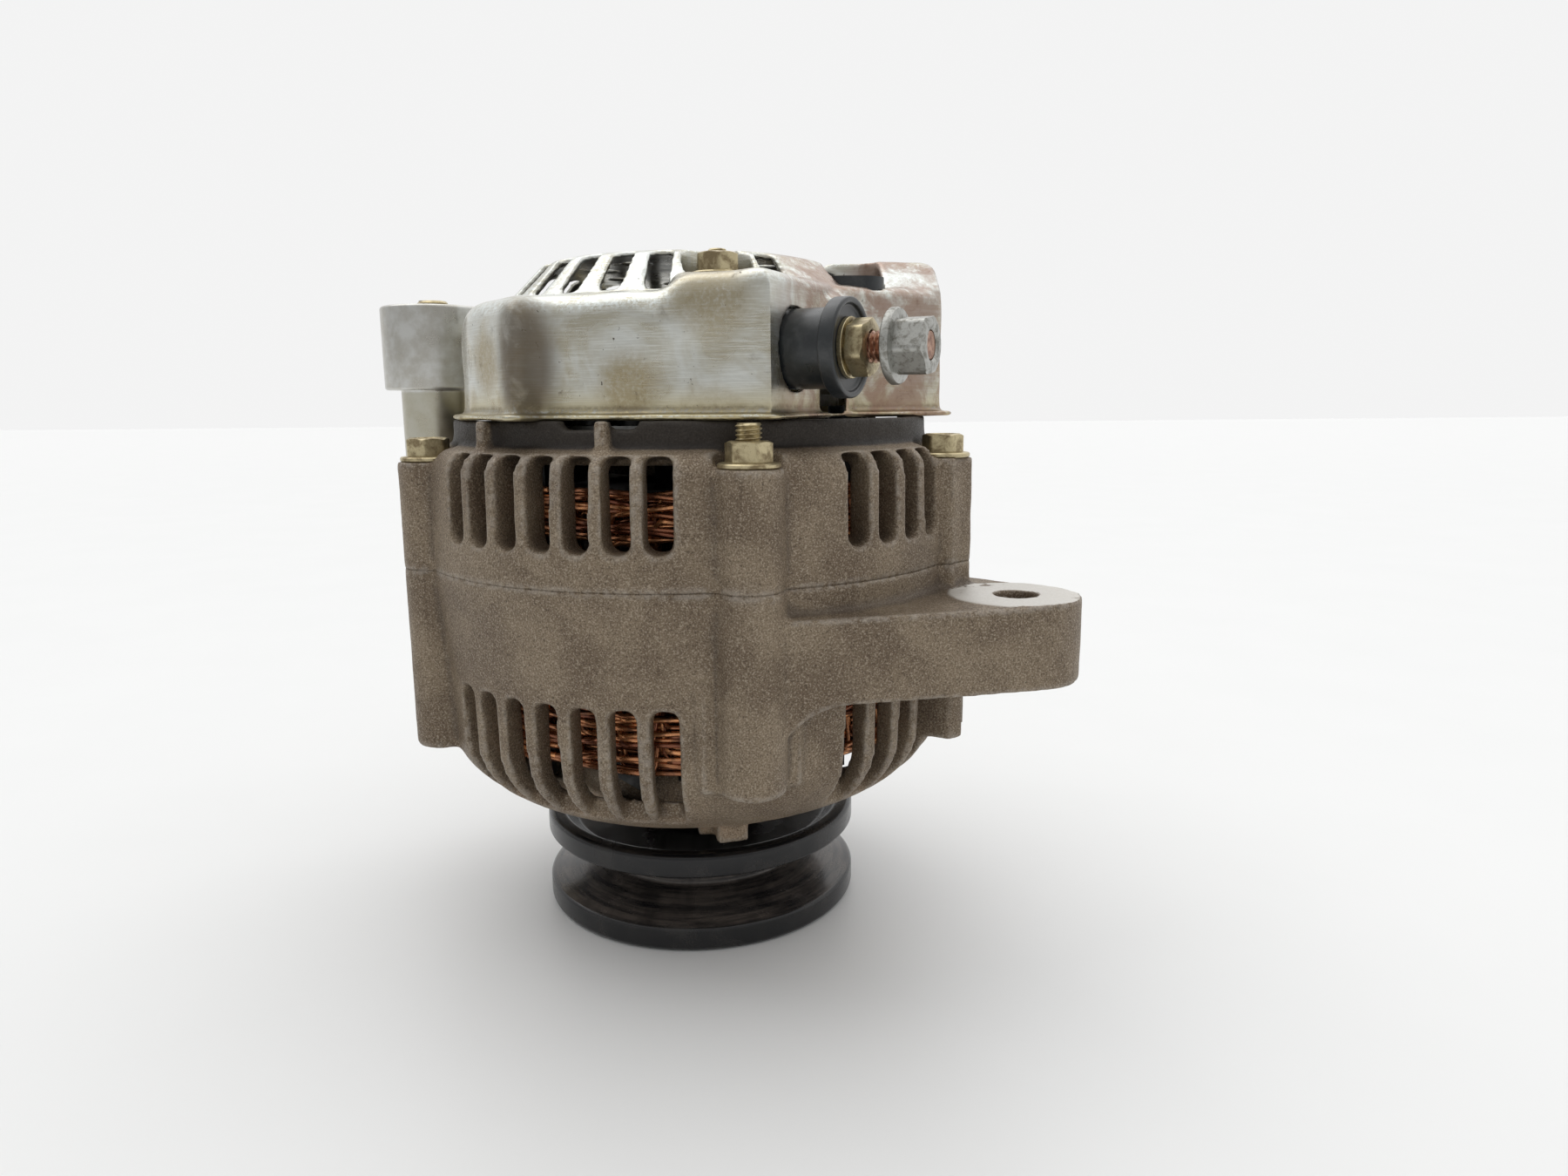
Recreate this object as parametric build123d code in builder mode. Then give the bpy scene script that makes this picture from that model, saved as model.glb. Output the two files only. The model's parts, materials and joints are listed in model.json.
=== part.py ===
from build123d import *
from math import atan2, cos, degrees, hypot, radians, sin
import os

# A compact car alternator, in millimetres. The origin is on the shaft's axis at the
# pulley's outer face, and +Z runs along the shaft towards the rear cover.

os.makedirs("parts", exist_ok=True)

# ---------------------------------------------------------------- driving dimensions

# Stations along the shaft
PULLEY_TOP = 22.7
NOSE_Z = 28.0
BOWL_Z = 50.0
CORE_LOW = 63.5
PARTING_Z = 85.2
CORE_HIGH = 90.5
LUG_TOP = 108.0
END_PLATE_LOW = 108.0
SHOULDER_Z = 111.0
FLANGE_Z = 116.6
COVER_TOP = 141.0
CORNER_TOP = 144.5
BLOCK_TOP = 151.5
DOME_TOP = 150.6
SHAFT_END = 139.0

# Radii
PULLEY_R = 38.0
BODY_R = 62.0
BAND_R = 60.0
BOWL_R = 59.5
BOWL_CENTRE_R = 24.0
CORE_R = 56.0
CORE_POCKET_R = 56.1
CAVITY_R = 54.8
BORE_R = 44.0
ROTOR_R = 43.6

# Walls and clearances
CASTING_WALL = 3.5
SHEET = 1.2
FIT = 0.3

# Through studs: angle round the shaft and the width of the boss that each one clamps
STUD_CIRCLE_R = 60.4
STUD_R = 2.5
STUD_HOLE_R = 2.7
STUD_FOOT_Z = 60.0
BOSS_R = 6.5
STUD_ANGLES = (-159.6, -80.5, -27.0, 75.0)
FRONT_BOSS_ANGLE = -80.5
FRONT_BOSS_WIDTH = 20.0

# Vents: the centre angle of each slot
VENT_PITCH = 7.5
REAR_VENT_ANGLES = (
    [-96.4 - VENT_PITCH * i for i in range(7)]
    + [-59.0 + VENT_PITCH * i for i in range(4)]
    + [-12.0 + VENT_PITCH * i for i in range(11)]
    + [92.0 + VENT_PITCH * i for i in range(7)]
    + [171.0 + VENT_PITCH * i for i in range(3)]
)
FRONT_VENT_ANGLES = (
    [-96.5 - 8.0 * i for i in range(7)]
    + [-58.0 + 8.0 * i for i in range(5)]
    + [-10.0 + 8.0 * i for i in range(10)]
    + [90.0 + 8.0 * i for i in range(7)]
)
VENT_WIDTH = 5.4

# Mounting ears
PIVOT_XY = (66.6, -41.6)
PIVOT_R = 13.5
PIVOT_HOLE_R = 4.5
PIVOT_LOW = 62.5
PIVOT_HIGH = 80.0
ARM_TOP = 79.7
SPOT_FACE_R = 14.0
WEB_START = (9.3, -63.5)
WEB_FOOT_Z = 48.5
ADJUSTER_XY = (-65.6, 28.5)
ADJUSTER_R = 11.0
ADJUSTER_LOW = 44.0
ADJUSTER_HIGH = 77.0
ADJUSTER_HOLE_R = 4.25
SLEEVE_STEP_Z = 123.6
SLEEVE_TOP = 144.2

# Bearings: inner radius, outer radius, width, pitch radius, ball radius, balls
FRONT_BEARING = (8.5, 23.5, 14.0, 16.0, 4.3, 7)
REAR_BEARING = (6.0, 16.0, 10.0, 11.0, 2.95, 7)
FRONT_BEARING_Z = 30.5
REAR_BEARING_Z = 104.8
BALL_GAP = 0.06

# Battery terminal: a point on its axis at the insulator's root, and its direction
TERMINAL_ROOT = (19.5, -43.0, 130.0)
TERMINAL_ANGLE = -32.0
TERMINAL_DIR = (cos(radians(TERMINAL_ANGLE)), sin(radians(TERMINAL_ANGLE)), 0)

# Connector at the rear, and the three points where the cover is held
CONNECTOR_XY = (35.5, -12.5)
CONNECTOR_SIZE = (14.0, 18.0)
CONNECTOR_WALL = 1.6
CONNECTOR_GAP = 0.6
CONNECTOR_TOP = 146.6
COVER_STUDS = ((5.5, -34.5, CORNER_TOP), (-27.0, 38.0, COVER_TOP), (22.0, 43.0, COVER_TOP))
COVER_SPACER_R = 3.1

# Slip rings and brushes
SLIP_RING_R = 7.2
SLIP_RING_Z = (122.0, 131.0)
SLIP_RING_WIDTH = 6.0
BRUSH_WIDTH = 5.0
BRUSH_HEIGHT = 6.0
BRUSH_LENGTH = 14.0
BRUSH_GAP = 0.08


# ---------------------------------------------------------------- helpers


def polar(radius, angle):
    """The point at a radius and an angle in degrees."""
    return (radius * cos(radians(angle)), radius * sin(radians(angle)))


def finish(part, name):
    """Label a finished sub-part and write it."""
    part.label = name
    export_step(part, f"parts/{name}.step")


def ring(inner, outer, low, high):
    """A plain tube about the shaft's axis, as a tool body."""
    with BuildPart() as tube:
        with BuildSketch(Plane.XY.offset(low)):
            Circle(outer)
            if inner > 0:
                Circle(inner, mode=Mode.SUBTRACT)
        extrude(amount=high - low)
    return tube.part


def turned(points):
    """A solid turned about the shaft's axis from a closed outline of (r, z) points."""
    with BuildPart() as solid:
        with BuildSketch(Plane.XZ):
            Polygon(*points, align=None)
        revolve(axis=Axis.Z)
    return solid.part


def flange_nut(across_flats, flange_r, height, bore_r):
    """A hexagon nut with a flange, standing on the XY plane."""
    with BuildPart() as nut:
        with BuildSketch():
            RegularPolygon(across_flats / 2, 6, major_radius=False)
        extrude(amount=height)
        with BuildSketch(Plane.XY):
            Circle(across_flats * 0.56)
        extrude(amount=height, mode=Mode.INTERSECT)
        chamfer(nut.edges().group_by(Axis.Z)[-1], length=0.35)
        with BuildSketch():
            Circle(flange_r)
        extrude(amount=height * 0.22)
        with BuildSketch():
            Circle(bore_r)
        extrude(amount=height, mode=Mode.SUBTRACT)
    return nut.part


def sector(inner, outer, start, end):
    """A ring sector between two angles, as a sketch on the XY plane."""
    middle = (start + end) / 2
    with BuildSketch() as piece:
        with BuildLine():
            ThreePointArc(polar(outer, start), polar(outer, middle), polar(outer, end))
            Line(polar(outer, end), polar(inner, end))
            ThreePointArc(polar(inner, end), polar(inner, middle), polar(inner, start))
            Line(polar(inner, start), polar(outer, start))
        make_face()
    return piece.sketch


# ---------------------------------------------------------------- pulley and shaft

GROOVE_LOW = 5.6
GROOVE_HIGH = 17.3
GROOVE_CORE_R = 25.0
NUT_RECESS_R = 16.0
NUT_RECESS = 9.5
PULLEY_BORE_R = 7.5
RIM_EDGE = 0.8

with BuildPart() as pulley:
    with BuildSketch(Plane.XZ):
        Polygon(
            (NUT_RECESS_R + 1.0, 0),
            (PULLEY_R - RIM_EDGE, 0),
            (PULLEY_R, RIM_EDGE),
            (PULLEY_R, GROOVE_LOW - 0.5),
            (PULLEY_R - 0.5, GROOVE_LOW),
            (GROOVE_CORE_R, 9.6),
            (GROOVE_CORE_R, 13.3),
            (PULLEY_R - 0.5, GROOVE_HIGH),
            (PULLEY_R, GROOVE_HIGH + 0.5),
            (PULLEY_R, PULLEY_TOP - RIM_EDGE),
            (PULLEY_R - RIM_EDGE, PULLEY_TOP),
            (34.5, PULLEY_TOP),
            (31.0, 19.6),
            (17.0, 19.6),
            (14.0, PULLEY_TOP),
            (PULLEY_BORE_R, PULLEY_TOP),
            (PULLEY_BORE_R, NUT_RECESS),
            (NUT_RECESS_R, NUT_RECESS),
            (NUT_RECESS_R, 1.0),
            align=None,
        )
    revolve(axis=Axis.Z)
finish(pulley.part, "pulley")

with BuildPart() as pulley_nut:
    with BuildSketch(Plane.XY.offset(NUT_RECESS)):
        Circle(11.5)
        Circle(7.0, mode=Mode.SUBTRACT)
    extrude(amount=-1.6)
    with BuildSketch(Plane.XY.offset(NUT_RECESS - 1.6)):
        RegularPolygon(11.0, 6, major_radius=False)
        Circle(7.0, mode=Mode.SUBTRACT)
    extrude(amount=-6.9)
    chamfer(pulley_nut.edges().filter_by(GeomType.LINE).group_by(Axis.Z)[0], length=0.5)
finish(pulley_nut.part, "pulley_nut")

SHAFT_PROFILE = (
    (0, 0.6),
    (6.0, 0.6),
    (7.0, 1.6),
    (7.0, NUT_RECESS),
    (PULLEY_BORE_R, NUT_RECESS),
    (PULLEY_BORE_R, 29.0),
    (8.5, 29.0),
    (8.5, 103.6),
    (6.0, 103.6),
    (6.0, 116.0),
    (5.0, 116.0),
    (5.0, SHAFT_END - 1.0),
    (4.0, SHAFT_END),
    (0, SHAFT_END),
)
finish(turned(SHAFT_PROFILE), "rotor_shaft")
finish(ring(PULLEY_BORE_R, 11.0, PULLEY_TOP, 29.0), "pulley_collar")
finish(ring(8.5, 11.5, 29.0, FRONT_BEARING_Z), "bearing_spacer")


# ---------------------------------------------------------------- bearings


def bearing(spec, low):
    """The two rings, the balls and the crown cage of a ball bearing."""
    inner, outer, width, pitch, ball, count = spec
    middle = low + width / 2
    shoulder = ball * 0.62
    with BuildPart() as groove:
        with BuildSketch(Plane.XZ):
            with Locations((pitch, middle)):
                Circle(ball + BALL_GAP)
        revolve(axis=Axis.Z)
    with BuildPart() as outer_ring:
        add(ring(pitch + shoulder, outer, low, low + width))
        add(groove.part, mode=Mode.SUBTRACT)
    with BuildPart() as inner_ring:
        add(ring(inner, pitch - shoulder, low, low + width))
        add(groove.part, mode=Mode.SUBTRACT)
    with BuildPart() as balls:
        with Locations((0, 0, middle)):
            with PolarLocations(pitch, count):
                Sphere(ball)
    with BuildPart() as cage:
        wall = ball * 0.38
        add(ring(pitch - wall, pitch + wall, middle - ball * 1.32, middle + ball * 0.55))
        with Locations((0, 0, middle)):
            with PolarLocations(pitch, count):
                Sphere(ball + 2 * BALL_GAP, mode=Mode.SUBTRACT)
    return outer_ring.part, inner_ring.part, balls.part, cage.part


for prefix, spec, low in (
    ("front", FRONT_BEARING, FRONT_BEARING_Z),
    ("rear", REAR_BEARING, REAR_BEARING_Z),
):
    outer_ring, inner_ring, balls, cage = bearing(spec, low)
    finish(outer_ring, f"{prefix}_bearing_outer_ring")
    finish(inner_ring, f"{prefix}_bearing_inner_ring")
    finish(balls, f"{prefix}_bearing_balls")
    finish(cage, f"{prefix}_bearing_cage")

RETAINER_SCREW_R = 27.3
RETAINER_Z = FRONT_BEARING_Z + FRONT_BEARING[2] + 0.2
RETAINER_THICK = 2.0
HUB_R = 31.0

with BuildPart() as retainer:
    with BuildSketch(Plane.XY.offset(RETAINER_Z)):
        Rectangle(46, 46)
        Circle(HUB_R - 0.5, mode=Mode.INTERSECT)
        Circle(19.5, mode=Mode.SUBTRACT)
        with PolarLocations(RETAINER_SCREW_R, 4, start_angle=45):
            Circle(2.1, mode=Mode.SUBTRACT)
    extrude(amount=RETAINER_THICK)
finish(retainer.part, "front_bearing_retainer")

with BuildPart() as retainer_screws:
    with BuildSketch(Plane.XY.offset(RETAINER_Z + RETAINER_THICK)):
        with PolarLocations(RETAINER_SCREW_R, 4, start_angle=45):
            Circle(3.4)
    extrude(amount=1.8)
    with BuildSketch(Plane.XY.offset(RETAINER_Z + RETAINER_THICK)):
        with PolarLocations(RETAINER_SCREW_R, 4, start_angle=45):
            Circle(2.0)
    extrude(amount=-10)
    with BuildSketch(Plane.XY.offset(RETAINER_Z + RETAINER_THICK + 1.8)):
        with PolarLocations(RETAINER_SCREW_R, 4, start_angle=45):
            Rectangle(4.2, 0.8)
            Rectangle(0.8, 4.2)
    extrude(amount=-1.0, mode=Mode.SUBTRACT)
finish(retainer_screws.part, "retainer_screws")

REAR_SLEEVE_R = 16.8
finish(
    ring(REAR_BEARING[1], REAR_SLEEVE_R, REAR_BEARING_Z, REAR_BEARING_Z + REAR_BEARING[2]),
    "rear_bearing_sleeve",
)

# ---------------------------------------------------------------- rotor

POLE_LOW = 53.0
POLE_HIGH = 101.0
POLE_DISC = 9.0
POLE_MIDDLE = (POLE_LOW + POLE_HIGH) / 2
CLAW_TIP_GAP = 1.5
CLAW_ROOT_HALF = 11.3
CLAW_TIP_HALF = 4.6
CLAWS = 8


def claw_section(inner, outer, half_angle, angle):
    """A four-cornered claw section, drawn in the current sketch."""
    Polygon(
        polar(inner, angle - half_angle),
        polar(outer, angle - half_angle),
        polar(outer, angle + half_angle),
        polar(inner, angle + half_angle),
        align=None,
    )


def claw_pole(end_z, inward, first_angle):
    """One half of the rotor's iron: a disc, a core and a ring of tapering claws."""
    root_z = end_z + inward * POLE_DISC
    tip_z = 2 * POLE_MIDDLE - end_z - inward * CLAW_TIP_GAP
    angles = [first_angle + 360 / CLAWS * i for i in range(CLAWS)]
    with BuildPart() as pole:
        with BuildSketch(Plane.XY.offset(end_z)):
            Circle(31.0)
            for angle in angles:
                claw_section(20.0, ROTOR_R, CLAW_ROOT_HALF, angle)
        extrude(amount=inward * POLE_DISC)
        for angle in angles:
            with BuildSketch(Plane.XY.offset(root_z)):
                claw_section(33.5, ROTOR_R, CLAW_ROOT_HALF, angle)
            with BuildSketch(Plane.XY.offset(tip_z)):
                claw_section(40.6, ROTOR_R, CLAW_TIP_HALF, angle)
            loft()
        with BuildSketch(Plane.XY.offset(root_z)):
            Circle(16.0)
        extrude(amount=inward * (POLE_MIDDLE - POLE_LOW - POLE_DISC))
        add(ring(0, 8.5, POLE_LOW, POLE_HIGH), mode=Mode.SUBTRACT)
    return pole.part


finish(claw_pole(POLE_LOW, 1, 0.0), "front_claw_pole")
finish(claw_pole(POLE_HIGH, -1, 180 / CLAWS), "rear_claw_pole")

COIL_LOW = POLE_LOW + POLE_DISC
COIL_HIGH = POLE_HIGH - POLE_DISC
with BuildPart() as bobbin:
    add(ring(16.0, 17.2, COIL_LOW, COIL_HIGH))
    add(ring(16.0, 32.0, COIL_LOW, COIL_LOW + 1.2))
    add(ring(16.0, 32.0, COIL_HIGH - 1.2, COIL_HIGH))
finish(bobbin.part, "field_coil_bobbin")
finish(ring(17.2, 31.4, COIL_LOW + 1.2, COIL_HIGH - 1.2), "field_coil")


def fan(plate_z, outward, hub_r, plate_r, blade_low_r, blade_high_r, blade_height, blades):
    """A stamped fan: a flat plate with raked blades bent up from its rim."""
    with BuildPart() as wheel:
        with BuildSketch(Plane.XY.offset(plate_z)):
            Circle(plate_r)
            Circle(hub_r, mode=Mode.SUBTRACT)
        extrude(amount=outward * 1.5)
        with BuildSketch(Plane.XY.offset(plate_z)):
            for i in range(blades):
                angle = 360 / blades * i + (4 if i % 2 else 0)
                start = polar(blade_low_r, angle)
                end = polar(blade_high_r, angle + 22)
                lean = degrees(atan2(end[1] - start[1], end[0] - start[0]))
                with Locations(Location(((start[0] + end[0]) / 2, (start[1] + end[1]) / 2), lean)):
                    Rectangle(hypot(end[0] - start[0], end[1] - start[1]), 1.5)
        extrude(amount=outward * blade_height)
    return wheel.part


finish(fan(POLE_LOW, -1, 8.5, 40.0, 33.0, 42.0, 14.6, 11), "front_fan")
finish(fan(POLE_HIGH, 1, 8.5, 40.0, 27.0, 42.0, 6.2, 13), "rear_fan")

with BuildPart() as slip_rings:
    for z in SLIP_RING_Z:
        add(ring(5.0, SLIP_RING_R, z - SLIP_RING_WIDTH / 2, z + SLIP_RING_WIDTH / 2))
finish(slip_rings.part, "slip_rings")

with BuildPart() as slip_ring_core:
    add(ring(5.0, 6.6, 117.0, SLIP_RING_Z[0] - SLIP_RING_WIDTH / 2))
    add(ring(5.0, 6.6, SLIP_RING_Z[0] + SLIP_RING_WIDTH / 2, SLIP_RING_Z[1] - SLIP_RING_WIDTH / 2))
    add(ring(5.0, 6.6, SLIP_RING_Z[1] + SLIP_RING_WIDTH / 2, 137.0))
finish(slip_ring_core.part, "slip_ring_insulators")

# ---------------------------------------------------------------- stator

SLOTS = 36
SLOT_WIDTH = 4.0
SLOT_DEPTH_R = 52.4

with BuildPart() as stator_core:
    with BuildSketch(Plane.XY.offset(CORE_LOW)):
        Circle(CORE_R)
        Circle(BORE_R, mode=Mode.SUBTRACT)
        with PolarLocations((BORE_R + SLOT_DEPTH_R) / 2 - 0.5, SLOTS):
            Rectangle(SLOT_DEPTH_R - BORE_R + 1.0, SLOT_WIDTH, mode=Mode.SUBTRACT)
    extrude(amount=CORE_HIGH - CORE_LOW)
finish(stator_core.part, "stator_core")

WINDING_LOW = 46.0
WINDING_HIGH = 104.0
WINDING_INNER = 45.2
WINDING_OUTER = 53.6
with BuildPart() as winding:
    add(ring(WINDING_INNER, WINDING_OUTER, WINDING_LOW, CORE_LOW - 1.0))
    add(ring(WINDING_INNER, WINDING_OUTER, CORE_HIGH + 1.0, WINDING_HIGH))
    round_edges = winding.edges().filter_by(GeomType.CIRCLE)
    fillet(round_edges.group_by(Axis.Z)[0] + round_edges.group_by(Axis.Z)[-1], radius=2.5)
    with BuildSketch(Plane.XY.offset(CORE_LOW - 1.0)):
        with PolarLocations((WINDING_INNER + SLOT_DEPTH_R) / 2, SLOTS):
            Rectangle(SLOT_DEPTH_R - WINDING_INNER - 1.2, SLOT_WIDTH - 0.6)
    extrude(amount=CORE_HIGH - CORE_LOW + 2.0)
finish(winding.part, "stator_winding")

# ---------------------------------------------------------------- drive end frame


def stud_bosses(low, high):
    """The bosses round the through studs between two heights, as one tool body."""
    with BuildPart() as bosses:
        with BuildSketch(Plane.XY.offset(low)):
            for angle in STUD_ANGLES:
                wide = FRONT_BOSS_WIDTH if angle == FRONT_BOSS_ANGLE else 2 * BOSS_R
                with Locations(polar(STUD_CIRCLE_R, angle)):
                    Circle(BOSS_R)
                with Locations(Location(polar(STUD_CIRCLE_R - 7.0, angle), angle)):
                    Rectangle(14.0, wide)
        extrude(amount=high - low)
    return bosses.part


def stud_holes(low, high, radius):
    """The stud holes between two heights, as one tool body."""
    with BuildPart() as holes:
        with BuildSketch(Plane.XY.offset(low)):
            for angle in STUD_ANGLES:
                with Locations(polar(STUD_CIRCLE_R, angle)):
                    Circle(radius)
        extrude(amount=high - low)
    return holes.part


def ear_plate(centre, radius, root_r, half_width, low, high):
    """A round ear joined to the body by a straight web, between two heights."""
    angle = degrees(atan2(centre[1], centre[0]))
    reach = hypot(*centre)
    with BuildPart() as ear:
        with BuildSketch(Plane.XY.offset(low)):
            with Locations(centre):
                Circle(radius)
            with Locations(Location(polar((reach + root_r) / 2, angle), angle)):
                Rectangle(reach - root_r, 2 * half_width)
        extrude(amount=high - low)
    return ear.part


WEB_END = (PIVOT_XY[0] + 2.0, PIVOT_XY[1] - PIVOT_R)
WEB_RUN = (WEB_END[0] - WEB_START[0], WEB_END[1] - WEB_START[1])
WEB_LENGTH = hypot(*WEB_RUN)
WEB_DIR = (WEB_RUN[0] / WEB_LENGTH, WEB_RUN[1] / WEB_LENGTH)
WEB_PLANE = Plane(
    origin=(*WEB_START, 0),
    x_dir=(*WEB_DIR, 0),
    z_dir=(WEB_DIR[1], -WEB_DIR[0], 0),
)

with BuildPart() as pivot_web:
    with BuildSketch(WEB_PLANE):
        with BuildLine():
            Polyline((0, ARM_TOP), (0, WEB_FOOT_Z), (3.5, WEB_FOOT_Z))
            ThreePointArc((3.5, WEB_FOOT_Z), (8.0, 57.5), (19.0, PIVOT_LOW))
            Polyline(
                (19.0, PIVOT_LOW),
                (WEB_LENGTH, PIVOT_LOW),
                (WEB_LENGTH, ARM_TOP),
                (0, ARM_TOP),
            )
        make_face()
    extrude(amount=-12)

with BuildPart() as pivot_arm:
    with BuildSketch(Plane.XY.offset(PIVOT_LOW)):
        Polygon(
            WEB_START,
            WEB_END,
            (PIVOT_XY[0] + 9.5, PIVOT_XY[1] + 9.5),
            (57.0, -10.0),
            (30.0, -10.0),
            align=None,
        )
    extrude(amount=ARM_TOP - PIVOT_LOW)

with BuildPart() as bowl_outside:
    with BuildSketch(Plane.XZ):
        with BuildLine():
            Polyline((0, PARTING_Z), (BODY_R, PARTING_Z), (BAND_R, 64.0), (BOWL_R, BOWL_Z))
            curve = EllipticalCenterArc(
                (BOWL_CENTRE_R, BOWL_Z), BOWL_R - BOWL_CENTRE_R, BOWL_Z - NOSE_Z, -90, arc_size=90
            )
            Polyline(curve @ 0, (0, NOSE_Z), (0, PARTING_Z))
        make_face()
    revolve(axis=Axis.Z)

with BuildPart() as bowl_inside:
    with BuildSketch(Plane.XZ):
        with BuildLine():
            Polyline(
                (0, PARTING_Z), (CORE_POCKET_R, PARTING_Z), (CORE_POCKET_R, CORE_LOW),
                (CAVITY_R, CORE_LOW), (CAVITY_R, BOWL_Z),
            )
            curve = EllipticalCenterArc(
                (BOWL_CENTRE_R, BOWL_Z),
                CAVITY_R - BOWL_CENTRE_R,
                BOWL_Z - NOSE_Z - CASTING_WALL,
                -90,
                arc_size=90,
            )
            Polyline(curve @ 0, (0, NOSE_Z + CASTING_WALL), (0, PARTING_Z))
        make_face()
    revolve(axis=Axis.Z)

FRONT_VENT_LOW = 36.5
FRONT_VENT_HIGH = 62.0
with BuildPart() as front_vents:
    with BuildSketch(Plane.XY.offset(FRONT_VENT_LOW)):
        for angle in FRONT_VENT_ANGLES:
            with Locations(Location(polar(59.5, angle), angle)):
                Rectangle(17.0, VENT_WIDTH)
    extrude(amount=FRONT_VENT_HIGH - FRONT_VENT_LOW)
    fillet(front_vents.edges().filter_by(Axis.Z, reverse=True).group_by(Axis.Z)[-1].filter_by(
        lambda edge: edge.length > 10), radius=2.0)

with BuildPart() as drive_end_frame:
    add(bowl_outside.part)
    add(stud_bosses(45.5, PARTING_Z))
    add(pivot_web.part)
    add(pivot_arm.part)
    add(ear_plate(PIVOT_XY, PIVOT_R, 50.0, 9.0, PIVOT_LOW, ARM_TOP))
    with BuildSketch(Plane.XY.offset(PIVOT_LOW)):
        with Locations(PIVOT_XY):
            Circle(PIVOT_R)
    extrude(amount=PIVOT_HIGH - PIVOT_LOW)
    add(ear_plate(ADJUSTER_XY, ADJUSTER_R, 50.0, 8.0, ADJUSTER_LOW, ADJUSTER_HIGH))
    with BuildSketch(Plane.XY.offset(24.6)):
        add(sector(29.0, 37.0, -92.0, -74.0))
    extrude(amount=5.0)
    with BuildSketch(Plane.XY.offset(46.0)):
        with Locations(Location(polar(60.5, -79.0), -79.0)):
            Rectangle(8.0, 4.5)
    extrude(amount=30.0)
    add(bowl_inside.part, mode=Mode.SUBTRACT)
    add(ring(0, HUB_R, NOSE_Z, RETAINER_Z))
    add(ring(0, 13.5, NOSE_Z, FRONT_BEARING_Z), mode=Mode.SUBTRACT)
    add(ring(0, FRONT_BEARING[1], FRONT_BEARING_Z, RETAINER_Z), mode=Mode.SUBTRACT)
    with BuildSketch(Plane.XY.offset(RETAINER_Z)):
        with PolarLocations(RETAINER_SCREW_R, 4, start_angle=45):
            Circle(2.05)
    extrude(amount=-9.0, mode=Mode.SUBTRACT)
    with BuildSketch(Plane.XY.offset(NOSE_Z - 4.0)):
        for i in range(8):
            add(sector(HUB_R + 1.0, 41.5, -67.0 + 45.0 * i, -40.0 + 45.0 * i))
    extrude(amount=12.0, mode=Mode.SUBTRACT)
    add(front_vents.part, mode=Mode.SUBTRACT)
    add(stud_holes(STUD_FOOT_Z - 2.0, PARTING_Z, STUD_R), mode=Mode.SUBTRACT)
    with BuildSketch(Plane.XY.offset(PIVOT_HIGH)):
        with Locations(PIVOT_XY):
            Circle(SPOT_FACE_R)
    extrude(amount=PARTING_Z - PIVOT_HIGH, mode=Mode.SUBTRACT)
    with BuildSketch(Plane.XY.offset(PIVOT_LOW)):
        with Locations(PIVOT_XY):
            Circle(PIVOT_HOLE_R)
    extrude(amount=PIVOT_HIGH - PIVOT_LOW, mode=Mode.SUBTRACT)
    with BuildSketch(Plane.XY.offset(ADJUSTER_LOW)):
        with Locations(ADJUSTER_XY):
            Circle(ADJUSTER_HOLE_R)
    extrude(amount=ADJUSTER_HIGH - ADJUSTER_LOW, mode=Mode.SUBTRACT)
finish(drive_end_frame.part, "drive_end_frame")

# ---------------------------------------------------------------- rear end frame

REAR_VENT_LOW = 92.3
REAR_HUB_R = 20.5
COLLAR_R = 54.5
COLLAR_GAPS = (-118.0, 10.0, 60.0, 110.0, 160.0)
COLLAR_GAP_DEPTH = 1.6
COLLAR_RIBS = (-107.65, -137.65)
COLLAR_RIB_WIDTH = 2.4
CAVITY_TOP = END_PLATE_LOW

with BuildPart() as rear_outside:
    with BuildSketch(Plane.XZ):
        with BuildLine():
            Polyline((0, PARTING_Z), (BODY_R, PARTING_Z), (BODY_R - 0.6, SHOULDER_Z - 5.0))
            RadiusArc((BODY_R - 0.6, SHOULDER_Z - 5.0), (BODY_R - 5.6, SHOULDER_Z), -5.0)
            Polyline(
                (BODY_R - 5.6, SHOULDER_Z), (COLLAR_R, SHOULDER_Z), (COLLAR_R, FLANGE_Z),
                (0, FLANGE_Z), (0, PARTING_Z),
            )
        make_face()
    revolve(axis=Axis.Z)

with BuildPart() as rear_vents:
    with BuildSketch(Plane.XY.offset(REAR_VENT_LOW)):
        for angle in REAR_VENT_ANGLES:
            with Locations(Location(polar(58.5, angle), angle)):
                Rectangle(15.0, VENT_WIDTH)
    extrude(amount=LUG_TOP + 2.2 - REAR_VENT_LOW)
    fillet(rear_vents.edges().filter_by(Axis.Z, reverse=True).group_by(Axis.Z)[0].filter_by(
        lambda edge: edge.length > 10), radius=2.0)

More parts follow.
